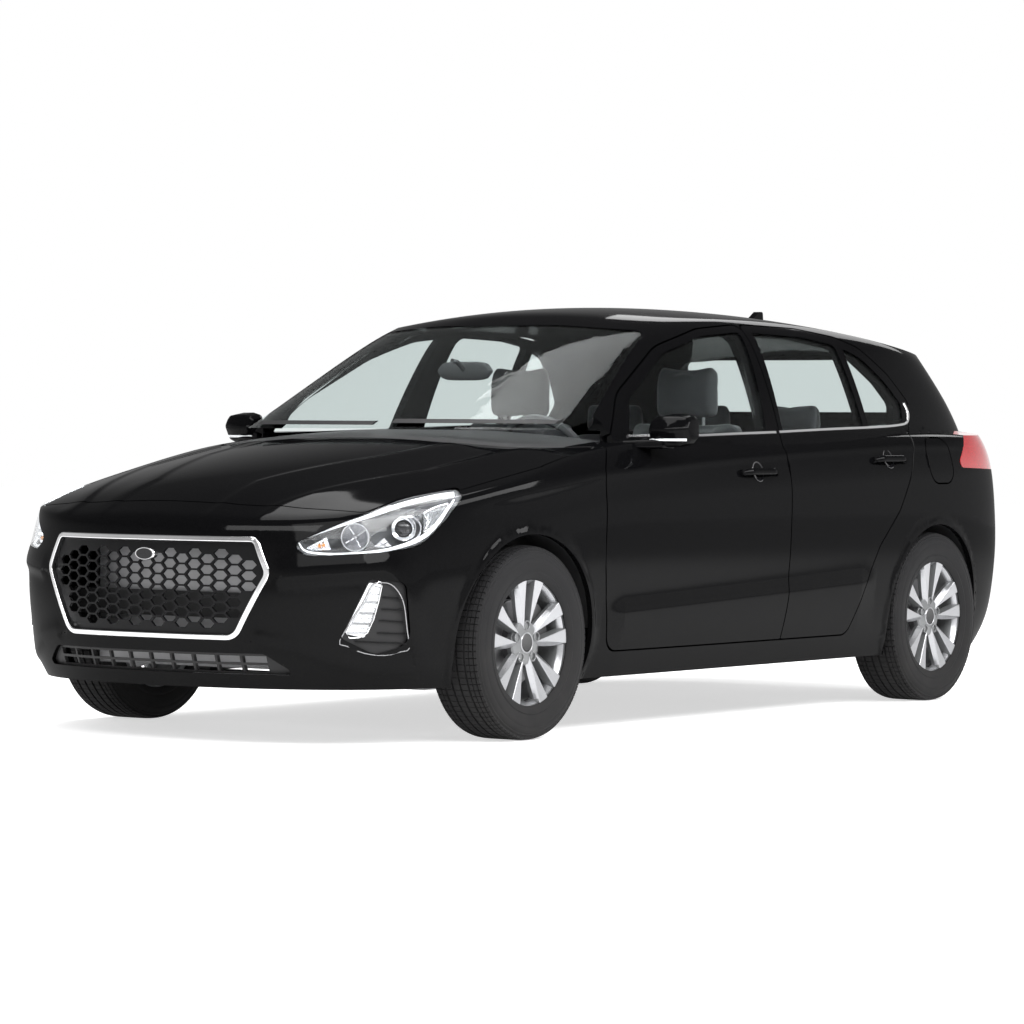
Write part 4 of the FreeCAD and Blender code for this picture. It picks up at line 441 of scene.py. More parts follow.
TUCK_START = 0.45
DECK_BLEND, ROOF_BLEND = 0.030, 0.050
SHOULDER_HALF = 0.80
FAR_AWAY = 9.0
CROWN_COLUMNS = (-1.1, -0.85, -0.62, -0.36, -0.12, 0.12, 0.36, 0.62, 0.85, 1.1)


SIGHT_ANGLE = math.radians(36.0)
ACROSS_X, ACROSS_Y = -math.sin(SIGHT_ANGLE), math.cos(SIGHT_ANGLE)
SIGHT = Vector((ACROSS_Y, -ACROSS_X, 0.0))
ACROSS = Vector((ACROSS_X, ACROSS_Y, 0.0))
BUMPER_LINE = ((-0.815, 0.540), (-0.741, 0.547), (-0.663, 0.553), (-0.585, 0.560), (-0.510, 0.563),
               (-0.482, 0.550),
               (-0.457, 0.515), (-0.444, 0.452), (-0.434, 0.389), (-0.424, 0.325))
CREASE = ((-1.70, -1.158, -0.425, 0.254, 0.877, 1.435, 1.75), (0.955, 0.958, 0.932, 0.899, 0.857, 0.780,
                                                               0.715))
SHELF = ((-0.95, 0.86), (0.455, 0.385))
LIP_LINE = ((-0.900, 0.331), (-0.866, 0.325), (-0.781, 0.311), (-0.677, 0.274), (-0.552, 0.241),
            (-0.430, 0.239),
            (-0.300, 0.250))


@dataclass(frozen=True)
class Fold:
    """A line pressed into the panels, with its height and how far it fades to either side."""

    height: float
    above: float
    below: float

    def rise(self, off: np.ndarray) -> np.ndarray:
        """How proud the panel stands at a distance from the line."""
        return self.height * np.exp(-(off / np.where(off > 0, self.above, self.below)) ** 2)


CREASE_FOLD, SHELF_FOLD = Fold(0.0042, 0.045, 0.016), Fold(0.012, 0.045, 0.12)
HOLLOW_DEPTH, HOLLOW_BELOW, HOLLOW_HALF = 0.0035, 0.055, 0.045
ARCH_EDGES = ((FRONT_AXLE, 0.352), (REAR_AXLE, 0.346))
ARCH_LIP, ARCH_LIP_WIDTH, ARCH_LIP_FADE = 0.005, 0.012, 0.010
FRONT_FOLDS = ((BUMPER_LINE, Fold(0.010, 0.050, 0.020)), (LIP_LINE, Fold(0.006, 0.040, 0.018)))
BONNET_FOLDS = ((((0.80, 1.45, 2.00), (0.66, 0.60, 0.40)), Fold(0.0045, 0.075, 0.020)),
                (((0.80, 1.40, 1.85), (0.44, 0.37, 0.22)), Fold(0.0035, 0.075, 0.020)))


def ramp(value: np.ndarray, start: float, width: float) -> np.ndarray:
    """Nothing up to the start, then an even climb to one over the width."""
    return np.clip((value - start) / width, 0, 1)


def signed_distance(across: np.ndarray, high: np.ndarray, path: Sequence[tuple[float, float]]) -> np.ndarray:
    """Distance from a drawn line, plus on its left and minus on its right.

    Args:
        across: Places across the view.
        high: Heights.
        path: Corners of the line.

    Returns:
        The signed distances.
    """
    best = np.full(across.shape, FAR_AWAY)
    sign = np.ones(across.shape)
    for (a0, z0), (a1, z1) in zip(path, path[1:]):
        da, dz = a1 - a0, z1 - z0
        share = np.clip(((across - a0) * da + (high - z0) * dz) / (da * da + dz * dz), 0, 1)
        oa, oz = across - a0 - share * da, high - z0 - share * dz
        away = np.hypot(oa, oz)
        closer = away < best
        best[closer] = away[closer]
        sign[closer] = np.where(da * oz - dz * oa > 0, 1.0, -1.0)[closer]
    return best * sign


def ring_surface(rows: list[list[Point]], around: int, high: int) -> Surface:
    """A closed surface through rings of control points.

    Args:
        rows: Half rings from nose to tail, one for each height.
        around: Samples around.
        high: Samples from the lowest ring to the highest.

    Returns:
        The sampled surface.
    """
    whole = np.array([half + [(x, -y, z) for x, y, z in half[-2:0:-1]] for half in rows])
    net = np.einsum("hr,rnk->hnk", clamped(len(rows), high), whole)
    return Surface(np.einsum("an,hnk->hak", closed(whole.shape[1], around), net), True)


def crown_surface(stations: Sequence[Point]) -> Surface:
    """The crowned top given by stations along the length."""
    net = np.array([[(x * LENGTH / 2, c * WIDTH / 2, (z - fall * c * c) * HEIGHT) for c in CROWN_COLUMNS]
                    for x, z, fall in stations])
    lengthwise = np.einsum("hr,rnk->hnk", clamped(len(net), 240), net)
    return Surface(np.einsum("an,hnk->hak", clamped(len(CROWN_COLUMNS), 120), lengthwise), False)


class BodyForm:
    """The smooth outer form that all the panels share, and the relief pressed into it."""

    def __init__(self) -> None:
        """Sample the four surfaces that make the form."""
        rows = []
        for height, wide, nose, tail, fall, tuck in BODY_ROWS:
            ring = []
            for along, across in BODY_PLAN:
                reach = nose if along > 0 else tail
                ahead = max(0.0, (along - TUCK_START) / (1 - TUCK_START))
                ring.append((along * LENGTH / 2 * (1 - (1 - reach) * along ** 2),
                             across * (1 - tuck * ahead ** 2) * WIDTH / 2 * wide,
                             HEIGHT * (height - fall * along)))
            rows.append(ring)
        self.body = ring_surface(rows, 520, 150)
        rows = []
        for height, screen, tail, wide in CABIN_ROWS:
            front, back = screen * LENGTH / 2, tail * LENGTH / 2
            rows.append([(front + (back - front) * s, across * wide * WIDTH / 2, height * HEIGHT)
                         for s, across in CABIN_PLAN])
        self.cabin = ring_surface(rows, 420, 120)
        self.deck, self.roof = crown_surface(DECK), crown_surface(ROOF)

    def place(self, points: np.ndarray, near: float = 0.0009) -> tuple[np.ndarray, np.ndarray, np.ndarray]:
        """Find which points lie on the outer skin and the smooth normals there.

        Args:
            points: Places on or inside the car.
            near: How close a place on the skin lies to the true surface.

        Returns:
            The places moved onto the true surface, their normals, and which ones are on the skin.
        """
        pairs = ((self.body, self.deck, DECK_BLEND), (self.deck, self.body, DECK_BLEND),
                 (self.cabin, self.roof, ROOF_BLEND), (self.roof, self.cabin, ROOF_BLEND))
        found = {id(s): s.nearest(points) for s in (self.body, self.deck, self.cabin, self.roof)}
        best = np.full(len(points), near)
        spots, normals = points.copy(), np.zeros_like(points)
        for surface, partner, radius in pairs:
            spot, normal, gap = found[id(surface)]
            other, away = found[id(partner)][1], found[id(partner)][2]
            blend = np.clip(1 - away / radius, 0, 1) ** 2 * 0.5
            mixed = normal * (1 - blend[:, None]) + other * blend[:, None]
            closer = gap < best
            best[closer] = gap[closer]
            spots[closer], normals[closer] = spot[closer], mixed[closer]
        on_skin = best < near
        length = np.linalg.norm(normals, axis=1)
        normals[on_skin] /= length[on_skin, None]
        return spots, normals, on_skin

    def relief(self, points: np.ndarray, normals: np.ndarray) -> np.ndarray:
        """How far the panels stand proud of the plain form.

        Args:
            points: Places on the skin.
            normals: The normals there.

        Returns:
            The offset at each place, in metres.
        """
        x, y, z = points[:, 0], np.abs(points[:, 1]), points[:, 2]
        side = ramp(np.abs(normals[:, 1]), 0.45, 0.35)
        rise = z - np.interp(x, *CREASE)
        hollow = HOLLOW_DEPTH * np.exp(-((rise + HOLLOW_BELOW) / HOLLOW_HALF) ** 2)
        total = side * ramp(-x, -1.60, 0.3) * ramp(x, -1.75, 0.25) * (CREASE_FOLD.rise(rise) - hollow)
        span = ramp(-x, -0.86, 0.12) * ramp(x, -0.93, 0.12)
        total += side * span * SHELF_FOLD.rise(z - np.interp(x, *SHELF))
        for axle, radius in ARCH_EDGES:
            away = np.hypot(x - axle, z - WHEEL_Z) - radius
            total += side * ARCH_LIP * np.exp(-(np.clip(away - ARCH_LIP_WIDTH, 0, 1) / ARCH_LIP_FADE) ** 2)
        front = ramp(x, 1.60, 0.12) * ramp(-normals[:, 2], -0.72, 0.3)
        for path, fold in FRONT_FOLDS:
            total += front * fold.rise(signed_distance(ACROSS_X * x + ACROSS_Y * y, z, path))
        top = ramp(normals[:, 2], 0.5, 0.3) * ramp(x, 0.75, 0.1)
        for path, fold in BONNET_FOLDS:
            total += top * fold.rise(y - np.interp(x, *path))
        return total

    def dressed(self, points: np.ndarray, normals: np.ndarray) -> tuple[np.ndarray, np.ndarray]:
        """Press the relief into the skin.

        Args:
            points: Places on the skin.
            normals: The plain normals there.

        Returns:
            The moved places and their true normals.
        """
        step = 0.0015
        aside = np.cross(normals, np.array([1.0, 0.0, 0.0]))
        aside /= np.linalg.norm(aside, axis=1, keepdims=True) + 1e-9
        ahead = np.cross(aside, normals)
        height = self.relief(points, normals)
        turned = normals.copy()
        for way in (aside, ahead):
            rise = self.relief(points + way * step, normals) - self.relief(points - way * step, normals)
            turned -= way * (rise / (2 * step))[:, None]
        turned /= np.linalg.norm(turned, axis=1, keepdims=True)
        return points + normals * height[:, None], turned

    def side(self, x: float, z: float) -> tuple[Vector, Vector]:
        """The left skin at a place along and a height.

        Args:
            x: Place along the car.
            z: Height.

        Returns:
            The place on the skin and the normal there.
        """
        hits = [s.tree.ray_cast(Vector((x, WIDTH, z)), Vector((0, -1, 0))) for s in (self.body, self.cabin)]
        deck = self.deck.tree.ray_cast(Vector((x, SHOULDER_HALF, 2 * HEIGHT)), Vector((0, 0, -1)))[0]
        body = hits[0] if hits[0][0] is not None and (deck is None or z < deck.z) else hits[1]
        normal = body[1] if body[1].y > 0 else -body[1]
        raised = self.relief(np.array([body[0]]), np.array([normal]))[0]
        return body[0] + normal * raised, normal


def mesh_arrays(source: bpy.types.Object) -> tuple[np.ndarray, np.ndarray]:
    """Merged vertices and triangles of a frame piece.

    Args:
        source: The frame piece.

    Returns:
        Its vertices and triangles.
    """
    mesh = source.data
    mesh.calc_loop_triangles()
    verts = np.empty(len(mesh.vertices) * 3)
    mesh.vertices.foreach_get("co", verts)
    tris = np.empty(len(mesh.loop_triangles) * 3, dtype=np.int64)
    mesh.loop_triangles.foreach_get("vertices", tris)
    verts, tris = verts.reshape(-1, 3), tris.reshape(-1, 3)
    _, first, inverse = np.unique(np.round(verts, 6), axis=0, return_index=True, return_inverse=True)
    tris = inverse.reshape(-1)[tris]
    keep = (tris[:, 0] != tris[:, 1]) & (tris[:, 1] != tris[:, 2]) & (tris[:, 2] != tris[:, 0])
    return verts[first], tris[keep]


def face_normals(verts: np.ndarray, tris: np.ndarray) -> np.ndarray:
    """The unit normal of each triangle."""
    faces = verts[tris]
    flat = np.cross(faces[:, 1] - faces[:, 0], faces[:, 2] - faces[:, 0])
    return flat / (np.linalg.norm(flat, axis=1, keepdims=True) + 1e-15)


def refined(verts: np.ndarray, tris: np.ndarray, allow: np.ndarray,
            size: Callable[[np.ndarray], np.ndarray], rounds: int) -> tuple[np.ndarray, np.ndarray,
                                                                            np.ndarray]:
    """Halve the long edges between marked vertices.

    Args:
        verts: Vertices.
        tris: Triangles.
        allow: Which vertices lie where the mesh may be refined.
        size: The longest edge wanted at a place.
        rounds: How many times to halve.

    Returns:
        The new vertices, triangles and marks.
    """
    for _ in range(rounds):
        edges = np.sort(np.concatenate((tris[:, [0, 1]], tris[:, [1, 2]], tris[:, [2, 0]])), axis=1)
        pairs, inverse = np.unique(edges, axis=0, return_inverse=True)
        inverse = inverse.reshape(3, -1).T
        middle = (verts[pairs[:, 0]] + verts[pairs[:, 1]]) / 2
        length = np.linalg.norm(verts[pairs[:, 0]] - verts[pairs[:, 1]], axis=1)
        split = (length > size(middle)) & allow[pairs[:, 0]] & allow[pairs[:, 1]]
        if not split.any():
            break
        number = np.full(len(pairs), -1)
        number[split] = len(verts) + np.arange(split.sum())
        verts = np.concatenate((verts, middle[split]))
        allow = np.concatenate((allow, np.ones(split.sum(), bool)))
        cut = number[inverse]
        count = (cut >= 0).sum(1)
        pieces = [tris[count == 0]]
        for turn in range(3):
            order = [turn, (turn + 1) % 3, (turn + 2) % 3]
            one = (count == 1) & (cut[:, turn] >= 0)
            a, b, c = tris[one][:, order].T
            m = cut[one, turn]
            pieces += [np.stack((a, m, c), 1), np.stack((m, b, c), 1)]
            two = (count == 2) & (cut[:, turn] < 0)
            a, b, c = tris[two][:, order].T
            m, n = cut[two, order[1]], cut[two, order[2]]
            pieces += [np.stack((a, b, m), 1), np.stack((a, m, n), 1), np.stack((m, c, n), 1)]
        full = count == 3
        a, b, c = tris[full].T
        ab, bc, ca = cut[full].T
        pieces += [np.stack((a, ab, ca), 1), np.stack((ab, b, bc), 1), np.stack((bc, c, ca), 1),
                   np.stack((ab, bc, ca), 1)]
        tris = np.concatenate(pieces)
    return verts, tris, allow


def dress(thing: bpy.types.Object, finish: Finish) -> bpy.types.Object:
    """Give an object one finish."""
    thing.data.materials.clear()
    thing.data.materials.append(LIBRARY.material(finish))
    return thing


def turns(count: int) -> np.ndarray:
    """Even angles round a full turn."""
    return np.linspace(0, math.tau, count, endpoint=False)


def deselect() -> None:
    """Leave object mode ready with nothing selected."""
    if bpy.context.object and bpy.context.object.mode != "OBJECT":
        bpy.ops.object.mode_set(mode="OBJECT")
    bpy.ops.object.select_all(action="DESELECT")


def activate(thing: bpy.types.Object) -> None:
    """Make one object the only selected and active one."""
    deselect()
    thing.select_set(True)
    bpy.context.view_layer.objects.active = thing


def choose(thing: bpy.types.Object, test: Callable[[Vector, Vector], bool]) -> None:
    """Select faces in edit mode.

    Args:
        thing: The active object.
        test: Says from a face's middle and normal whether it is wanted.
    """
    bpy.ops.object.mode_set(mode="OBJECT")
    bpy.context.tool_settings.mesh_select_mode = (False, False, True)
    mesh = thing.data
    mesh.vertices.foreach_set("select", [False] * len(mesh.vertices))
    mesh.edges.foreach_set("select", [False] * len(mesh.edges))
    mesh.polygons.foreach_set("select", [bool(test(f.center, f.normal)) for f in mesh.polygons])
    bpy.ops.object.mode_set(mode="EDIT")


def finished(thing: bpy.types.Object, smooth: float = 35.0) -> bpy.types.Object:
    """Merge doubles, turn the faces outwards and shade them.

    Args:
        thing: The active object.
        smooth: Faces meeting at less than this many degrees shade as one.

    Returns:
        The object.
    """
    bpy.ops.object.mode_set(mode="EDIT")
    bpy.ops.mesh.select_all(action="SELECT")
    bpy.ops.mesh.remove_doubles(threshold=0.00001)
    bpy.ops.mesh.normals_make_consistent(inside=False)
    bpy.ops.object.mode_set(mode="OBJECT")
    bpy.ops.object.shade_smooth_by_angle(angle=math.radians(smooth))
    return thing


def applied(thing: bpy.types.Object, kind: str, **settings: object) -> None:
    """Put a modifier on the active object and apply it."""
    modifier = thing.modifiers.new(kind.title(), kind)
    for name, value in settings.items():
        setattr(modifier, name, value)
    bpy.ops.object.modifier_apply(modifier=modifier.name)


def lofted(name: str, sections: Sequence[Sequence[Point]], caps: bool = True, loop: bool = False,
           smooth: float = 35.0) -> bpy.types.Object:
    """Draw one closed section and extrude it through the rest.

    Args:
        name: The piece's name.
        sections: Closed rows of as many corners each.
        caps: Whether the two ends are closed.
        loop: Whether the last section joins the first.
        smooth: Shading angle in degrees.

    Returns:
        The piece.
    """
    deselect()
    whole = [np.array(s, dtype=float) for s in sections] + ([np.array(sections[0],
                                                                      dtype=float)] if loop else [])
    capped = caps and not loop
    bpy.ops.mesh.primitive_circle_add(vertices=len(whole[0]), fill_type="NGON" if capped else "NOTHING")
    thing = bpy.context.object
    thing.name = thing.data.name = name
    thing.data.vertices.foreach_set("co", whole[0].ravel())
    bpy.ops.object.mode_set(mode="EDIT")
    bpy.ops.mesh.select_all(action="SELECT")
    for before, after in zip(whole, whole[1:]):
        if capped:
            bpy.ops.mesh.extrude_region_move()
        else:
            bpy.ops.mesh.extrude_edges_move()
        grid = bmesh.from_edit_mesh(thing.data)
        for corner in (v for v in grid.verts if v.select):
            corner.co = after[np.abs(before - np.array(corner.co)).sum(1).argmin()]
        bmesh.update_edit_mesh(thing.data)
    return finished(thing, smooth)


def spun(name: str, profile: Sequence[tuple[float, float]], steps: int = 96, smooth: float = 35.0,
         axis: Point = (0, 1, 0), centre: Point = (0, 0, 0)) -> bpy.types.Object:
    """Spin a closed profile round an axis.

    Args:
        name: The piece's name.
        profile: Corners as place along the axis and distance from it.
        steps: Steps round the axis.
        smooth: Shading angle in degrees.
        axis: The axis direction.
        centre: A point on the axis.

    Returns:
        The piece.
    """
    deselect()
    along = Vector(axis).normalized()
    away = along.orthogonal().normalized()
    bpy.ops.mesh.primitive_circle_add(vertices=len(profile), fill_type="NOTHING")
    thing = bpy.context.object
    thing.name = thing.data.name = name
    corners = [Vector(centre) + along * a + away * r for a, r in profile]
    thing.data.vertices.foreach_set("co", [c for corner in corners for c in corner])
    bpy.ops.object.mode_set(mode="EDIT")
    bpy.ops.mesh.select_all(action="SELECT")
    bpy.ops.mesh.spin(steps=steps, angle=math.tau, center=centre, axis=tuple(along))
    return finished(thing, smooth)


def frames(path: Sequence[Point], normals: Sequence[Point], closed_path: bool) -> list[tuple[Vector, Vector,
                                                                                             Vector]]:
    """Place, side and up directions along a path that lies on a surface."""
    spots = [Vector(p) for p in path]
    found = []
    for i, spot in enumerate(spots):
        before = spots[i - 1] if i or closed_path else spot
        after = spots[(i + 1) % len(spots)] if i + 1 < len(spots) or closed_path else spot
        ahead = (after - before).normalized()
        up = Vector(normals[i]).normalized()
        side = ahead.cross(up).normalized()
        found.append((spot, side, side.cross(ahead).normalized()))
    return found


def ribbon(name: str, path: Sequence[Point], normals: Sequence[Point], width: float | Sequence[float],
           height: float, sink: float = 0.001, loop: bool = False) -> bpy.types.Object:
    """A flat moulding laid along a path on a surface.

    Args:
        name: The piece's name.
        path: Places on the surface.
        normals: The surface's normals there.
        width: Width of the moulding, or one width for each place.
        height: How far it stands off the surface.
        sink: How far it goes under the surface.
        loop: Whether the path closes.

    Returns:
        The piece.
    """
    widths = [width] * len(path) if isinstance(width, (int, float)) else list(width)
    sections = []
    for (spot, side, up), wide in zip(frames(path, normals, loop), widths):
        corners = ((-0.5, -sink), (-0.5, height * 0.55), (-0.36, height), (0.36, height),
                   (0.5, height * 0.55),
                   (0.5, -sink))
        sections.append([tuple(spot + side * a * wide + up * b) for a, b in corners])
    return lofted(name, sections, loop=loop, smooth=50)


def tube(name: str, path: Sequence[Point], radius: float, sides: int = 10,
         loop: bool = False) -> bpy.types.Object:
    """A round bar along a path."""
    up = [(0.0, 0.0, 1.0) if abs((Vector(b) - Vector(a)).normalized().z) < 0.9 else (1.0, 0.0, 0.0)
          for a, b in zip(path, list(path[1:]) + [path[-2]])]
    sections = [[tuple(spot + (side * math.cos(t) + rise * math.sin(t)) * radius)
                 for t in turns(sides)]
                for spot, side, rise in frames(path, up, loop)]
    return lofted(name, sections, loop=loop, smooth=60)


def smoothed(points: Sequence[Point], parts: int = 4, loop: bool = False) -> list[Point]:
    """Round off a row of points through them with an even curve."""
    row = [np.array(p, dtype=float) for p in points]
    count = len(row)
    found = []
    for i in range(count if loop else count - 1):
        a, b = row[(i - 1) % count] if loop or i else row[i], row[i]
        c = row[(i + 1) % count]
        d = row[(i + 2) % count] if loop or i + 2 < count else c
        for t in np.linspace(0, 1, parts, endpoint=False):
            found.append(tuple(0.5 * (2 * b + (c - a) * t + (2 * a - 5 * b + 4 * c - d) * t ** 2
                                      + (3 * b - a - 3 * c + d) * t ** 3)))
    return found if loop else found + [tuple(row[-1])]


def joined(name: str, pieces: Sequence[bpy.types.Object]) -> bpy.types.Object:
    """Join several pieces into one object."""
    deselect()
    for piece in pieces:
        piece.select_set(True)
    bpy.context.view_layer.objects.active = pieces[0]
    bpy.ops.object.join()
    thing = bpy.context.object
    thing.name = thing.data.name = name
    return thing


def copied(thing: bpy.types.Object, name: str, move: Matrix) -> bpy.types.Object:
    """A copy with a mesh of its own, moved in its mesh, with its faces kept outwards."""
    twin = thing.copy()
    twin.data = thing.data.copy()
    twin.name = twin.data.name = name
    bpy.context.scene.collection.objects.link(twin)
    twin.data.transform(move)
    if move.determinant() < 0:
        twin.data.flip_normals()
    return twin


OTHER_SIDE = Matrix.Scale(-1.0, 4, (0.0, 1.0, 0.0))


def settle(thing: bpy.types.Object, body: str, *nodes: str) -> bpy.types.Object:
    """Fix a piece to the body that carries it, in place of the nodes that it stands for."""
    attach(thing, body)
    if nodes:
        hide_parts(*nodes)
    return thing


def pair(thing: bpy.types.Object, body_left: str, body_right: str, stem: str) -> None:
    """Fix a left piece and its mirrored twin to their bodies."""
    thing.name = thing.data.name = stem + "_left"
    settle(thing, body_left)
    settle(copied(thing, stem + "_right", OTHER_SIDE), body_right)


def eased_node(node: str, finish: Finish, width: float, segments: int = 2,
               smooth: float = 35.0) -> bpy.types.Object:
    """A copy of a frame piece with its sharp edges rounded.

    Args:
        node: The frame piece.
        finish: Its finish.
        width: Width of the rounding.
        segments: Steps of the rounding.
        smooth: Shading angle in degrees.

    Returns:
        The piece, fixed to its body in place of the node.
    """
    source = frame["nodes"][node]
    thing = source.copy()
    thing.data = source.data.copy()
    thing.name = thing.data.name = node + "_eased"
    thing.parent = None
    bpy.context.scene.collection.objects.link(thing)
    activate(thing)
    finished(thing, smooth)
    applied(thing, "BEVEL", width=width, segments=segments, angle_limit=math.radians(35.0),
            use_clamp_overlap=True)
    bpy.ops.object.shade_smooth_by_angle(angle=math.radians(smooth))
    dress(thing, finish)
    return settle(thing, body_of(node), node)


@dataclass
class PanelWork:
    """Smooth, creased panels made over the plain panels of the frame."""

    form: BodyForm
    fine_edge: float = 0.011
    top_edge: float = 0.016
    plain_edge: float = 0.030
    fold_reach: float = 0.05
    front_reach: float = 0.045
    shelf_rise: float = 0.02
    shelf_end: float = 0.95
    front_start: float = 1.55
    bonnet_start: float = 0.75
    bonnet_half: float = 0.78
    bonnet_low: float = 0.68
    halvings: int = 7
    skin_reach: float = 0.004
    skin_cosine: float = 0.6

    def size(self, points: np.ndarray) -> np.ndarray:
        """The longest edge wanted at each place on the skin."""
        x, y, z = points[:, 0], np.abs(points[:, 1]), points[:, 2]
        near = np.abs(z - np.interp(x, *CREASE)) < self.fold_reach
        across = ACROSS_X * x + ACROSS_Y * y
        for path, _ in FRONT_FOLDS:
            near |= (x > self.front_start) & (np.abs(signed_distance(across, z, path)) < self.front_reach)
        shelf = np.interp(x, *SHELF) + self.shelf_rise
        near |= (np.abs(z - shelf) < self.fold_reach) & (np.abs(x) < self.shelf_end)
        top = (x > self.bonnet_start) & (y < self.bonnet_half) & (z > self.bonnet_low)
        return np.where(near, self.fine_edge, np.where(top, self.top_edge, self.plain_edge))

    def panel(self, node: str, finish: Finish = PAINT) -> bpy.types.Object:
        """Make one panel from its frame node.

        Args:
            node: The frame node that it stands for.
            finish: The finish of the panel.

        Returns:
            The panel.
        """
        verts, tris = mesh_arrays(frame["nodes"][node])
        on_skin = self.form.place(verts)[2]
        verts, tris, on_skin = refined(verts, tris, on_skin, self.size, self.halvings)
        spots, normals, true_skin = self.form.place(verts, self.skin_reach)
        on_skin &= true_skin
        facing = (face_normals(verts, tris) * normals[tris].mean(1)).sum(1)
        skin_face = on_skin[tris].all(1) & (facing > self.skin_cosine)
        moved, turned = self.form.dressed(spots, normals)
        used = np.zeros(len(verts), bool)
        used[tris[skin_face].ravel()] = True
        verts[used] = moved[used]
        mesh = bpy.data.meshes.new(node + "_panel")
        mesh.from_pydata(verts.tolist(), [], tris.tolist())
        corner = np.repeat(face_normals(verts, tris), 3, 0)
        mask = np.repeat(skin_face, 3)
        corner[mask] = turned[tris.ravel()][mask]
        mesh.polygons.foreach_set("use_smooth", np.ones(len(tris), bool))
        mesh.normals_split_custom_set(corner.tolist())
        made = bpy.data.objects.new(node + "_panel", mesh)
        bpy.context.scene.collection.objects.link(made)
        dress(made, finish)
        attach(made, body_of(node))
        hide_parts(node)
        LOG.info("panel %s: %d triangles", node, len(tris))
        return made


def body_of(node: str) -> str:
    """The body that carries a frame node."""
    for body, nodes in frame["record"]["behaviour"]["bodies"].items():
        if node in nodes:
            return body
    raise KeyError(node)


PANELS = ("bonnet", "front_fenders", "front_bumper", "side_frame_left", "side_frame_right", "roof_panel",
          "rear_bumper", "fuel_flap", "tailgate", "front_door_left", "front_door_right", "rear_door_left",
          "rear_door_right")
NODE_FINISH: dict[str, Finish] = {
    "antenna_fin": PAINT, "bulkhead": TRIM, "dashboard": CABIN, "daytime_lamps": LIGHT_GUIDE,
    "engine_block": IRON, "exhaust": STEEL, "floor_pan": TRIM, "fog_bezels": TRIM, "front_seats": FABRIC,
    "front_suspension": STEEL, "grille_frame": CHROME, "grille_mesh": GLOSS, "headlamp_housings": LAMP_DARK,
    "headlamp_lenses": CLEAR, "lower_grille": TRIM, "radiator": STEEL, "rear_axle": STEEL,
    "rear_bench": FABRIC, "tail_lamps": RED_LENS, "wheel_housings": TRIM, "windscreen": GLASS,
    "wipers": TRIM, "tailgate_glass": GLASS, "tailgate_lamps": RED_LENS, "steering_wheel": CABIN,
    "knuckle_left": IRON, "knuckle_right": IRON, "mirror_left": PAINT, "mirror_right": PAINT,
    "front_glass_left": GLASS, "front_glass_right": GLASS, "rear_glass_left": GLASS,
    "rear_glass_right": GLASS,
}


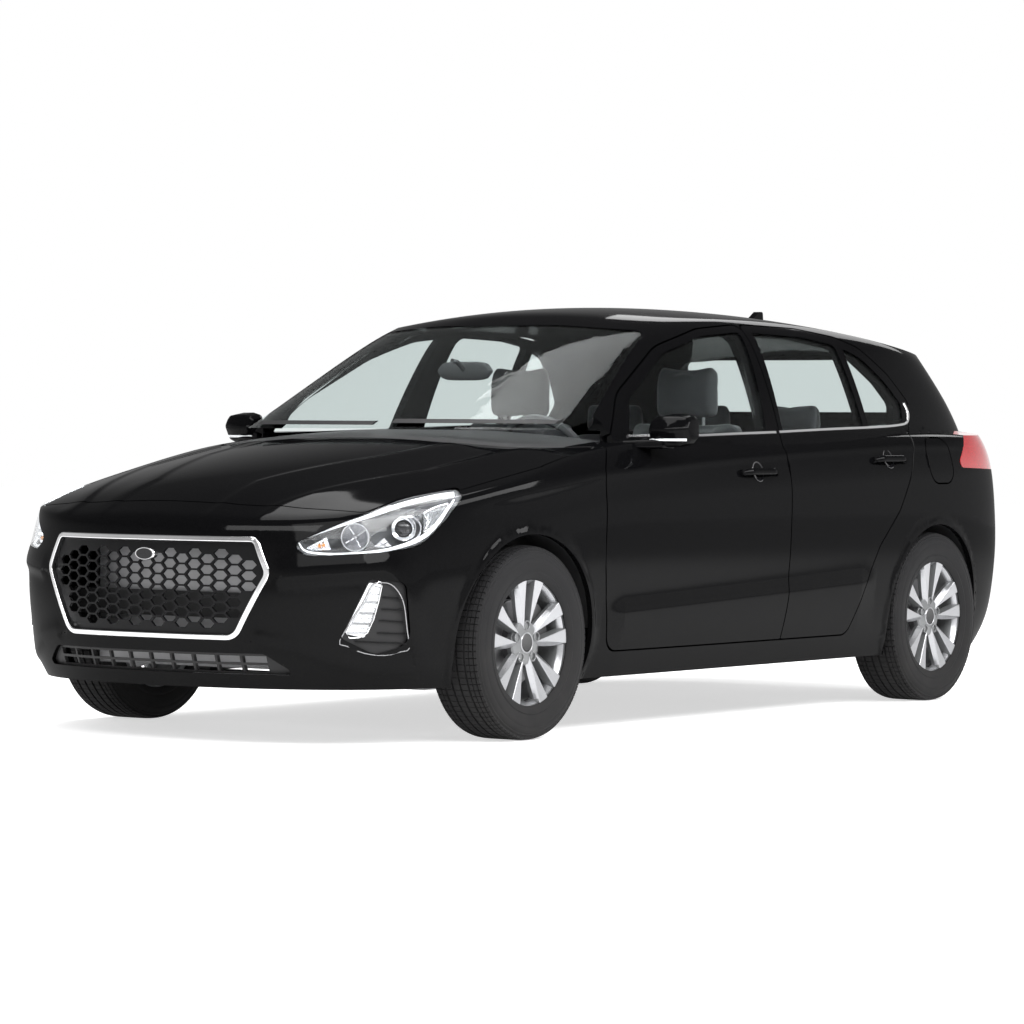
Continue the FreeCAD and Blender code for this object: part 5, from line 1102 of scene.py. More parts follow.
@dataclass
class Wheels:
    """Tyres, alloy wheels and brake discs."""

    steps: int = 90
    tread: float = 0.0062
    face: float = 0.074
    pairs: int = 5
    lug_circle: float = 0.1143

    def tyre(self) -> bpy.types.Object:
        """One tyre about the origin, its tread cut into blocks and ribs.

        Returns:
            The tyre.
        """
        half = [(0.0880, 0.2040), (0.0945, 0.2120), (0.0970, 0.2230), (0.0985, 0.2285), (0.0968, 0.2330),
                (0.0998, 0.2440), (0.1022, 0.2600), (0.1018, 0.2700), (0.1003, 0.2735), (0.1010, 0.2762),
                (0.0990, 0.2850), (0.0965, 0.2925), (0.0950, 0.2940), (0.0948, 0.2985), (0.0900, 0.3035),
                (0.0790, 0.3075), (0.0640, 0.3092), (0.0500, 0.3096), (0.0440, 0.3096), (0.0180, 0.3097),
                (0.0120, 0.3097)]
        profile = half + [(-y, r) for y, r in reversed(half)]
        thing = spun("Tyre", profile, self.steps, 40)
        bands = ((0.0500, 0.0905, 0.0014), (0.0175, 0.0445, 0.0010), (-0.0125, 0.0125, 0.0006))
        activate(thing)
        for near, far, gap in bands:
            def wanted(middle: Vector, normal: Vector) -> bool:
                """Whether a face is a block of this band."""
                away = abs(middle.y) if near > 0 else middle.y
                return near < away < far and math.hypot(middle.x, middle.z) > 0.3 and (
                    normal.x * middle.x + normal.z * middle.z > 0)
            choose(thing, wanted)
            bpy.ops.mesh.inset(thickness=gap, depth=self.tread, use_individual=True)
        bpy.ops.object.mode_set(mode="OBJECT")
        bpy.ops.object.shade_smooth_by_angle(angle=math.radians(28))
        return dress(thing, RUBBER)

    def blade(self, side: int) -> bpy.types.Object:
        """One of a pair of machined spokes, the pair standing upwards.

        Args:
            side: Plus or minus one for the two of a pair.

        Returns:
            The spoke, its machined face and its grey flanks.
        """
        rows = ((0.047, 0.0105, 0.0145, 0.0030, 0.0040, 0.0715),
                (0.070, 0.0155, 0.0215, 0.0050, 0.0120, 0.0735),
                (0.105, 0.0180, 0.0330, 0.0050, 0.0135, 0.0765),
                (0.150, 0.0210, 0.0500, 0.0045, 0.0110, 0.0810),
                (0.190, 0.0235, 0.0660, 0.0040, 0.0060, 0.0855),
                (0.2125, 0.0245, 0.0735, 0.0035, 0.0030, 0.0880))
        sections = []
        for reach, slot, outer, slot_flank, outer_flank, high in rows:
            def at(across: float, depth: float) -> Point:
                """A corner on the arc of this row."""
                return side * across, high - depth, math.sqrt(reach ** 2 - across ** 2)
            deep = 0.030
            sections.append([at(max(slot - slot_flank, 0.004), deep), at(slot, 0.0012),
                             at(slot + 0.0012, 0.0),
                             at(outer - 0.0012, 0.0), at(outer, 0.0012), at(outer + outer_flank, 0.014),
                             at(outer + outer_flank * 0.8, deep)])
        thing = lofted("Spoke", sections, smooth=25)
        thing.data.materials.append(LIBRARY.material(ALLOY))
        thing.data.materials.append(LIBRARY.material(POCKET))
        for face in thing.data.polygons:
            face.material_index = 0 if face.normal.y > 0.45 else 1
        return thing

    def rim(self) -> bpy.types.Object:
        """The barrel with its bright lip, spun about the axle."""
        profile = [(0.0830, 0.2183), (0.0905, 0.2183), (0.0918, 0.2170), (0.0918, 0.2135), (0.0900, 0.2115),
                   (0.0860, 0.2105), (0.0800, 0.2050), (0.0700, 0.1960), (0.0600, 0.1905), (0.0300, 0.1885),
                   (-0.0850, 0.1885), (-0.0900, 0.2080), (-0.0918, 0.2125), (-0.0918, 0.2170),
                   (-0.0905, 0.2183),
                   (-0.0884, 0.2183), (-0.0884, 0.2030), (0.0830, 0.2030)]
        thing = spun("Rim", profile, 120, 30)
        thing.data.materials.append(LIBRARY.material(POCKET))
        thing.data.materials.append(LIBRARY.material(ALLOY))
        for face in thing.data.polygons:
            radius = math.hypot(face.center.x, face.center.z)
            face.material_index = 1 if face.center.y > 0.062 and radius > 0.192 else 0
        return thing

    def hub(self) -> list[bpy.types.Object]:
        """Hub plate, plain cap, lug seats, nuts and valve."""
        plate = dress(spun("Hub plate", [(0.0440, 0.0205), (0.0440, 0.0740), (0.0600, 0.0740),
                                         (0.0660, 0.0700),
                                         (0.0705, 0.0560), (0.0715, 0.0360), (0.0715, 0.0310),
                                         (0.0630, 0.0310),
                                         (0.0630, 0.0205)], 72, 30), POCKET)
        ring = dress(spun("Cap ring", [(0.0635, 0.0300), (0.0735, 0.0300), (0.0742, 0.0308), (0.0742, 0.0330),
                                       (0.0725, 0.0345), (0.0635, 0.0345)], 72, 30), ALLOY)
        cap = dress(spun("Cap", [(0.0640, 0.0), (0.0640, 0.0298), (0.0728, 0.0298), (0.0738, 0.0285),
                                 (0.0734, 0.0240), (0.0746, 0.0)], 72, 40), GLOSS)
        made = [plate, ring, cap]
        seat = [(0.0580, 0.0120), (0.0745, 0.0120), (0.0752, 0.0128), (0.0752, 0.0150), (0.0740, 0.0162),
                (0.0580, 0.0162)]
        nut = [(0.0520, 0.0), (0.0520, 0.0098), (0.0640, 0.0098), (0.0665, 0.0082), (0.0690, 0.0045),
               (0.0696, 0.0)]
        for k in range(self.pairs):
            a = math.radians(90 + k * 360 / self.pairs)
            spot = (math.cos(a) * self.lug_circle / 2, 0.0, math.sin(a) * self.lug_circle / 2)
            made.append(dress(spun("Lug seat", seat, 28, 30, centre=spot), POCKET))
            # Each lug well is a near-black disc behind the nut, inside its seat: painted shade in the bore,
            # not a part of its own.
            made.append(dress(spun("Lug well", [(0.0590, 0.0), (0.0590, 0.0121), (0.0600, 0.0121),
                                                (0.0600, 0.0)],
                                   28, 30, centre=spot), LUG_WELL_SHADE))
            made.append(dress(spun("Lug nut", nut, 6, 20, centre=spot), CHROME))
        valve = spun("Valve", [(0.0, 0.0), (0.0, 0.0042), (0.018, 0.0042), (0.020, 0.0034), (0.030, 0.0034),
                               (0.030, 0.0)], 14, 40, axis=(0.0, 0.85, 0.5), centre=(-0.012, 0.048, -0.196))
        return made + [dress(valve, TRIM)]

    def brake(self) -> list[bpy.types.Object]:
        """The vented disc and its hat."""
        disc = [(-0.0003, 0.0700), (-0.0003, 0.1390), (0.0005, 0.1398), (0.0070, 0.1398), (0.0078, 0.1360),
                (0.0138, 0.1360), (0.0145, 0.1398), (0.0210, 0.1398), (0.0217, 0.1390), (0.0217, 0.0800),
                (0.0190, 0.0760), (0.0190, 0.0700)]
        hat = [(0.0003, 0.0205), (0.0003, 0.0700), (0.0400, 0.0715), (0.0435, 0.0690), (0.0435, 0.0205)]
        return [dress(spun("Disc", disc, 72, 30), STEEL), dress(spun("Hat", hat, 72, 30), IRON)]

    def wheel(self) -> bpy.types.Object:
        """One wheel about the origin with its outer face towards plus Y."""
        blades = [self.blade(1), self.blade(-1)]
        for k in range(1, self.pairs):
            turn = Matrix.Rotation(k * math.tau / self.pairs, 4, "Y")
            blades += [copied(b, "Spoke", turn) for b in blades[:2]]
        return joined("Wheel", blades + [self.rim()] + self.hub() + self.brake())

    def build(self) -> None:
        """Make one wheel and one tyre and set a copy of each on every corner."""
        wheel, tyre = self.wheel(), self.tyre()
        for corner, x, side in WHEEL_CORNERS:
            place = Matrix.Translation((x, side * TRACK_HALF, WHEEL_Z))
            turn = Matrix.Identity(4) if side > 0 else Matrix.Rotation(math.pi, 4, "Z")
            body = body_of("wheel_" + corner)
            settle(copied(wheel, "Wheel_" + corner, place @ turn), body, "wheel_" + corner)
            settle(copied(tyre, "Tyre_" + corner, place @ turn), body, "tyre_" + corner)
        for spare in (wheel, tyre):
            bpy.data.objects.remove(spare)
        LOG.info("wheels and tyres on %d corners", len(WHEEL_CORNERS))


@dataclass
class FrontLamps:
    """Headlamps, running lamps and the recesses round them, drawn as seen from the front corner."""

    form: BodyForm
    outline: tuple[tuple[float, float], ...] = (
        (-0.796, 0.652), (-0.760, 0.608), (-0.663, 0.599), (-0.585, 0.599), (-0.507, 0.612), (-0.432, 0.630),
        (-0.366, 0.660), (-0.325, 0.696), (-0.300, 0.740), (-0.264, 0.788), (-0.284, 0.812), (-0.368, 0.803),
        (-0.463, 0.781), (-0.540, 0.751), (-0.618, 0.727), (-0.700, 0.699))
    upper_strip: tuple[tuple[float, float, float], ...] = (
        (-0.776, 0.654, 0.004), (-0.710, 0.680, 0.008), (-0.617, 0.712, 0.011), (-0.540, 0.737, 0.013),
        (-0.462, 0.764, 0.015), (-0.368, 0.786, 0.017), (-0.292, 0.797, 0.019))
    lower_strip: tuple[tuple[float, float, float], ...] = (
        (-0.776, 0.646, 0.004), (-0.750, 0.619, 0.007), (-0.655, 0.611, 0.008), (-0.523, 0.621, 0.010),
        (-0.445, 0.640, 0.013), (-0.387, 0.666, 0.014), (-0.343, 0.706, 0.011), (-0.314, 0.748, 0.008),
        (-0.292, 0.781, 0.006))
    wedge: tuple[tuple[float, float], ...] = ((-0.386, 0.740), (-0.311, 0.770), (-0.322, 0.744),
                                              (-0.352, 0.704),
                                              (-0.388, 0.680), (-0.370, 0.712))
    indicator: tuple[tuple[float, float], ...] = ((-0.752, 0.630), (-0.690, 0.664), (-0.676, 0.624),
                                                  (-0.737, 0.622))
    bowl: tuple[float, float, float] = (-0.601, 0.664, 0.041)
    projector: tuple[float, float, float] = (-0.450, 0.691, 0.040)
    recess: tuple[tuple[float, float], ...] = (
        (-0.646, 0.343), (-0.624, 0.324), (-0.568, 0.301), (-0.506, 0.294), (-0.459, 0.304), (-0.433, 0.316),
        (-0.440, 0.373), (-0.450, 0.452), (-0.466, 0.493), (-0.488, 0.517), (-0.513, 0.523), (-0.547, 0.516),
        (-0.578, 0.453))
    cells: tuple[tuple[tuple[float, float], ...], ...] = (
        ((-0.566, 0.465), (-0.527, 0.463), (-0.517, 0.508), (-0.541, 0.512)),
        ((-0.585, 0.430), (-0.538, 0.428), (-0.528, 0.458), (-0.569, 0.460)),
        ((-0.608, 0.398), (-0.549, 0.396), (-0.540, 0.423), (-0.588, 0.425)),
        ((-0.628, 0.366), (-0.560, 0.366), (-0.551, 0.391), (-0.611, 0.393)))
    ribs: tuple[tuple[float, float, float, float], ...] = (
        (-0.513, 0.478, -0.455, 0.471), (-0.516, 0.440, -0.450, 0.436), (-0.522, 0.404, -0.447, 0.398),
        (-0.528, 0.365, -0.441, 0.360), (-0.600, 0.338, -0.440, 0.330))

    def spot(self, across: float, high: float, depth: float = 0.0) -> Vector:
        """A place on the skin as seen from the front corner, or behind it.

        Args:
            across: Place across the view.
            high: Height.
            depth: Distance behind the skin along the view.

        Returns:
            The place.
        """
        start = ACROSS * across + SIGHT * 5.0 + Vector((0, 0, high))
        hits = [s.tree.ray_cast(start, -SIGHT) for s in (self.form.body, self.form.deck)]
        hit = max((h for h in hits if h[0] is not None), key=lambda h: h[3])
        normal = hit[1] if hit[1].dot(SIGHT) > 0 else -hit[1]
        raised = self.form.relief(np.array([hit[0]]), np.array([normal]))[0]
        return hit[0] + normal * raised - SIGHT * depth

    def housing(self) -> bpy.types.Object:
        """The dark shell behind the lens."""
        rim = smoothed([(a, z, 0.0) for a, z in self.outline], 2, True)
        middle = np.mean(np.array(rim), 0)
        sections = []
        for shrink, depth in ((0.985, 0.009), (0.90, 0.030), (0.80, 0.062), (0.50, 0.074), (0.001, 0.076)):
            ring = []
            for a, z, _ in rim:
                across, high = middle[0] + (a - middle[0]) * shrink, middle[1] + (z - middle[1]) * shrink
                ring.append(tuple(self.spot(across, high, depth)))
            sections.append(ring)
        thing = lofted("Lamp_shell", sections, caps=False, smooth=50)
        applied(thing, "SOLIDIFY", thickness=0.0015, offset=1.0)
        return dress(thing, LAMP_DARK)

    def strip(self, name: str, path: Sequence[tuple[float, float, float]], depth: float) -> bpy.types.Object:
        """A light guide along the edge of the lamp."""
        rows = smoothed(path, 4)
        spots = [tuple(self.spot(a, z, depth)) for a, z, _ in rows]
        widths = [w for _, _, w in rows]
        return dress(ribbon(name, spots, [tuple(SIGHT)] * len(rows), widths, 0.004, 0.006), LIGHT_GUIDE)

    def facets(self, name: str, corners: Sequence[tuple[float, float]], wide: int, high: int, depth: float,
               finish: Finish, step: float = -0.003) -> bpy.types.Object:
        """A grid of small cells between four corners.

        Args:
            name: The piece's name.
            corners: Lower left, upper left or such four corners in order.
            wide: Cells across.
            high: Cells up.
            depth: Distance behind the skin.
            finish: Its finish.
            step: How far each cell's middle stands off, or sinks in.

        Returns:
            The piece.
        """
        deselect()
        bpy.ops.mesh.primitive_grid_add(x_subdivisions=wide, y_subdivisions=high, size=2.0)
        thing = bpy.context.object
        thing.name = thing.data.name = name
        a, b, c, d = (np.array(p) for p in corners)
        for corner in thing.data.vertices:
            s, t = corner.co.x / 2 + 0.5, corner.co.y / 2 + 0.5
            across, tall = (a * (1 - s) + b * s) * (1 - t) + (d * (1 - s) + c * s) * t
            corner.co = self.spot(across, tall, depth)
        applied(thing, "SOLIDIFY", thickness=0.004, offset=0.0)
        choose(thing, lambda middle, normal: normal.dot(SIGHT) > 0.6)
        bpy.ops.mesh.inset(thickness=0.0018, depth=step, use_individual=True)
        bpy.ops.object.mode_set(mode="OBJECT")
        return dress(finished(thing, 20), finish)

    def ring(self, name: str, centre: Vector, profile: Sequence[tuple[float, float]], finish: Finish,
             steps: int = 48) -> bpy.types.Object:
        """A round piece that faces the view."""
        return dress(spun(name, profile, steps, 40, axis=tuple(SIGHT), centre=tuple(centre)), finish)

    def headlamp(self) -> bpy.types.Object:
        """All that is behind the left headlamp lens."""
        made = [self.housing(), self.strip("Upper_guide", self.upper_strip, 0.014),
                self.strip("Lower_guide", self.lower_strip, 0.014)]
        a, z, r = self.bowl
        centre = self.spot(a, z, 0.030)
        made.append(self.ring("Bowl", centre, [(0.006, r), (0.006, r + 0.004), (-0.002, r + 0.0045),
                                               (-0.028, r * 0.62),
                                               (-0.038, 0.008), (-0.036, 0.0065), (-0.026, r * 0.55),
                                               (0.000, r - 0.003)], REFLECTOR))
        made.append(self.ring("Bulb", centre - SIGHT * 0.02, [(-0.012, 0.0), (-0.012, 0.006), (0.010, 0.006),
                                                              (0.014, 0.004), (0.015, 0.0)], STEEL, 20))
        for turn in (0.6, 2.1, 3.7, 5.2):
            way = ACROSS * math.cos(turn) + Vector((0, 0, math.sin(turn)))
            ends = [tuple(centre - SIGHT * 0.020 + way * 0.006),
                    tuple(centre - SIGHT * 0.004 + way * (r - 0.003))]
            made.append(dress(tube("Bowl_vane", ends, 0.0016, 6), CHROME))
        a, z, r = self.projector
        centre = self.spot(a, z, 0.026)
        back = centre - SIGHT * 0.018 + ACROSS * 0.016
        made.append(self.ring("Shroud_ring", back, [(0.004, r - 0.004), (0.006, r - 0.001),
                                                    (0.003, r + 0.001),
                                                    (-0.014, r + 0.001), (-0.014, r - 0.004)], CHROME))
        made.append(self.ring("Lens_ring", centre, [(0.000, r - 0.012), (0.005, r - 0.004),
                                                    (0.007, r - 0.002),
                                                    (0.004, r), (-0.024, r - 0.002), (-0.024, r - 0.013)],
                                                    REFLECTOR))
        made.append(self.ring("Projector_lens", centre - SIGHT * 0.004,
                              [(-0.012, 0.0), (-0.012, 0.0275), (-0.004, 0.0275), (0.004, 0.0235),
                               (0.010, 0.0155),
                               (0.0125, 0.0075), (0.0132, 0.0)], GLOSS))
        made.append(self.facets("Indicator", self.indicator, 6, 4, 0.024, REFLECTOR))
        for across, high in ((-0.712, 0.637), (-0.700, 0.640)):
            made.append(self.ring("Indicator_bulb", self.spot(across, high, 0.018),
                                  [(-0.006, 0.0), (-0.006, 0.005), (0.002, 0.005), (0.005, 0.0)], AMBER, 16))
        plan = [self.wedge[0], self.wedge[1], self.wedge[3], self.wedge[4]]
        made.append(self.facets("Side_cell", plan, 5, 3, 0.020, LENS_GREY, -0.0015))
        edge = smoothed([tuple(self.spot(a, z, 0.013)) for a, z in self.wedge], 2, True)
        made.append(dress(tube("Side_cell_edge", edge, 0.0026, 8, True), CHROME))
        fin = [(-0.545, 0.634), (-0.511, 0.662), (-0.487, 0.634), (-0.516, 0.629)]
        made.append(self.facets("Divider", fin, 2, 2, 0.034, STEEL, 0.002))
        return joined("Headlamp_inside_left", made)

    def fog(self) -> bpy.types.Object:
        """The left running lamp, its thin bright outline and the slats beside it."""
        made = []
        edge = smoothed([tuple(self.spot(a, z, 0.001)) for a, z in self.recess], 3, True)
        outline = ribbon("Recess_edge", edge, [tuple(SIGHT)] * len(edge), 0.0032, 0.0012, 0.004, True)
        made.append(dress(outline, STEEL))
        for number, cell in enumerate(self.cells):
            made.append(self.facets("Cell_%d" % number, cell, 3, 2, 0.005, REFLECTOR, -0.003))
            ring = [tuple(self.spot(a, z, 0.002)) for a, z in cell]
            made.append(dress(tube("Cell_edge_%d" % number, ring, 0.0016, 6, True), STEEL))
        outline = [self.cells[3][0], self.cells[3][1], self.cells[0][2], self.cells[0][3]]
        ring = smoothed([tuple(self.spot(a, z, 0.001)) for a, z in outline], 3, True)
        made.append(dress(tube("Lamp_edge", ring, 0.0022, 8, True), CHROME))
        for a0, z0, a1, z1 in self.ribs:
            path = [tuple(self.spot(a0 + (a1 - a0) * t, z0 + (z1 - z0) * t, 0.003)) for t in np.linspace(0, 1,
                                                                                                         8)]
            made.append(dress(ribbon("Slat", path, [tuple(SIGHT)] * 8, 0.0036, 0.003, 0.006), GLOSS_EDGE))
        return joined("Running_lamp_left", made)

    def build(self) -> None:
        """Fit both sides."""
        head = self.headlamp()
        twin = copied(head, "Headlamp_inside_right", OTHER_SIDE)
        settle(head, "body", "headlamp_housings")
        settle(twin, "body", "headlamp_housings")
        pair(self.fog(), "body", "body", "Running_lamp")
        LOG.info("front lamps")


@dataclass
class Grille:
    """Bright frame, bevelled mesh and the bare oval disc."""

    form: BodyForm
    disc_high: float = 0.604
    disc_set: float = 0.0070
    disc_wide: float = 0.041
    disc_tall: float = 0.021

    def disc(self) -> list[bpy.types.Object]:
        """The bare oval disc and its rim at the top of the mesh."""
        hit = self.form.body.tree.ray_cast(Vector((5, 0, self.disc_high)), Vector((-1, 0, 0)))[0]
        made = []
        for name, scale, thick, finish in (("Disc", 0.86, 0.006, GLOSS), ("Disc_rim", 1.0, 0.0045, CHROME)):
            sections = []
            for share, ahead in ((1.0, -0.014), (1.0, thick * 0.4), (0.92, thick), (0.90, thick),
                                 (0.001, thick * 1.05)):
                sections.append([(hit.x + ahead - self.disc_set, math.cos(t) * self.disc_wide * scale * share,
                                  self.disc_high + math.sin(t) * self.disc_tall * scale * share)
                                 for t in turns(40)])
            made.append(dress(lofted(name, sections, smooth=40), finish))
        return made

    def build(self) -> None:
        """Ease the frame and the meshes and add the disc."""
        eased_node("grille_frame", CHROME, 0.0030, 3)
        eased_node("grille_mesh", GLOSS_EDGE, 0.0012, 2)
        eased_node("lower_grille", TRIM, 0.0012, 2)
        settle(joined("Oval_disc", self.disc()), "body")
        LOG.info("grille")


@dataclass
class SideTrim:
    """Belt strips along the window line, handles and mirrors."""

    form: BodyForm
    belt_front: tuple[tuple[float, float], ...] = ((0.575, 0.985), (0.40, 0.988), (0.205, 0.989),
                                                   (-0.05, 0.996),
                                                   (-0.300, 1.002))
    belt_rear: tuple[tuple[float, float], ...] = ((-0.322, 1.003), (-0.60, 1.012), (-0.83, 1.018),
                                                  (-1.05, 1.024),
                                                  (-1.20, 1.031), (-1.275, 1.040), (-1.305, 1.060),
                                                  (-1.315, 1.085),
                                                  (-1.302, 1.115))
    handle_front: tuple[float, float] = (-0.108, 0.870)
    handle_rear: tuple[float, float] = (-1.034, 0.912)
    bar_half: float = 0.120
    bar_rise: float = 0.010
    bar_tall: float = 0.0125
    bar_thick: float = 0.0070
    bar_lift: float = 0.030
    bar_drop: float = 0.022
    bar_straight_share: float = 0.66
    post_share: float = 0.93
    post_half: float = 0.012
    disc_radius: float = 0.037

    def strip(self, name: str, path: Sequence[tuple[float, float]], width: float, height: float,
              finish: Finish,
              parts: int = 5) -> bpy.types.Object:
        """A moulding along the side at the given places and heights."""
        spots, normals = [], []
        for x, z, _ in smoothed([(x, z, 0.0) for x, z in path], parts):
            spot, normal = self.form.side(x, z)
            spots.append(tuple(spot))
            normals.append(tuple(normal))
        return dress(ribbon(name, spots, normals, width, height, 0.004), finish)

    def handle(self, name: str, x: float, z: float) -> bpy.types.Object:
        """A pull bar over its round dish."""
        spot, normal = self.form.side(x, z)
        along = Vector((1, 0, 0)) - normal * normal.x
        along.normalize()
        rise = normal.cross(along)
        made = [dress(spun("Dish", [(-0.004, 0.0), (-0.004, self.disc_radius), (0.0006, self.disc_radius),
                                    (0.0016, self.disc_radius - 0.0015), (0.0010, self.disc_radius - 0.0045),
                                    (-0.0025, self.disc_radius * 0.6), (-0.0034, 0.0)], 48, 40,
                           axis=tuple(normal), centre=tuple(spot + rise * 0.004)), GLOSS)]
        sections = []
        for share in np.linspace(-1, 1, 21):
            end = 1 - abs(share) ** 6 * 0.55
            bend = max(0.0, abs(share) - self.bar_straight_share) / (1 - self.bar_straight_share)
            lift = self.bar_lift - self.bar_drop * bend - self.bar_thick
            middle = spot + along * share * self.bar_half + rise * self.bar_rise
            sections.append([tuple(middle + rise * math.sin(t) * self.bar_tall * end
                                   + normal * (lift + math.cos(t) * self.bar_thick * (0.6 + 0.4 * end)))
                             for t in turns(14)])
        made.append(dress(lofted("Bar", sections, smooth=60), PAINT))
        for share in (-self.post_share, self.post_share):
            base = spot + along * share * self.bar_half + rise * self.bar_rise
            sections = [[tuple(base + normal * high + (along * math.cos(t) * self.post_half
                                                       + rise * math.sin(t) * self.bar_tall) * scale)
                         for t in turns(14)]
                        for high, scale in ((-0.003, 1.12), (0.004, 1.0), (0.012, 0.9))]
            made.append(dress(lofted("Post", sections, smooth=60), PAINT))
        return joined(name, made)

    def mirror_details(self) -> bpy.types.Object:
        """Turn lamp of the left mirror."""
        node = frame["nodes"]["mirror_left"]
        verts, tris = mesh_arrays(node)
        tree = BVHTree.FromPolygons(verts.tolist(), tris.tolist())
        low, high = verts.min(0), verts.max(0)
        path, normals = [], []
        for y in np.linspace(max(low[1] + 0.045, 0.845), high[1] - 0.010, 16):
            hit = tree.ray_cast(Vector((2.0, y, 0.975)), Vector((-1, 0, 0)))
            if hit[0] is not None:
                path.append(tuple(hit[0]))
                normals.append(tuple(hit[1]))
        made = [dress(ribbon("Turn_lamp", path, normals, 0.009, 0.0022, 0.003), LIGHT_GUIDE)]
        return joined("Mirror_strip_left", made)

    def build(self) -> None:
        """Fit both sides."""
        for end, path in (("front", self.belt_front), ("rear", self.belt_rear)):
            name = "Belt_" + end
            pair(self.strip(name, path, 0.011, 0.005, CHROME), end + "_door_left", end + "_door_right", name)
        for end, place in (("front", self.handle_front), ("rear", self.handle_rear)):
            name = "Handle_" + end
            pair(self.handle(name, *place), end + "_door_left", end + "_door_right", name)
        eased_node("mirror_left", PAINT, 0.002, 2, 40)
        eased_node("mirror_right", PAINT, 0.002, 2, 40)
        pair(self.mirror_details(), "front_door_left", "front_door_right", "Mirror_strip")
        LOG.info("side trim")


COVER_SETTINGS = {"quality": 4, "mass": 0.3, "use_pressure": True, "uniform_pressure_force": 4.0,
                  "tension_stiffness": 12.0, "compression_stiffness": 12.0, "bending_stiffness": 0.4}


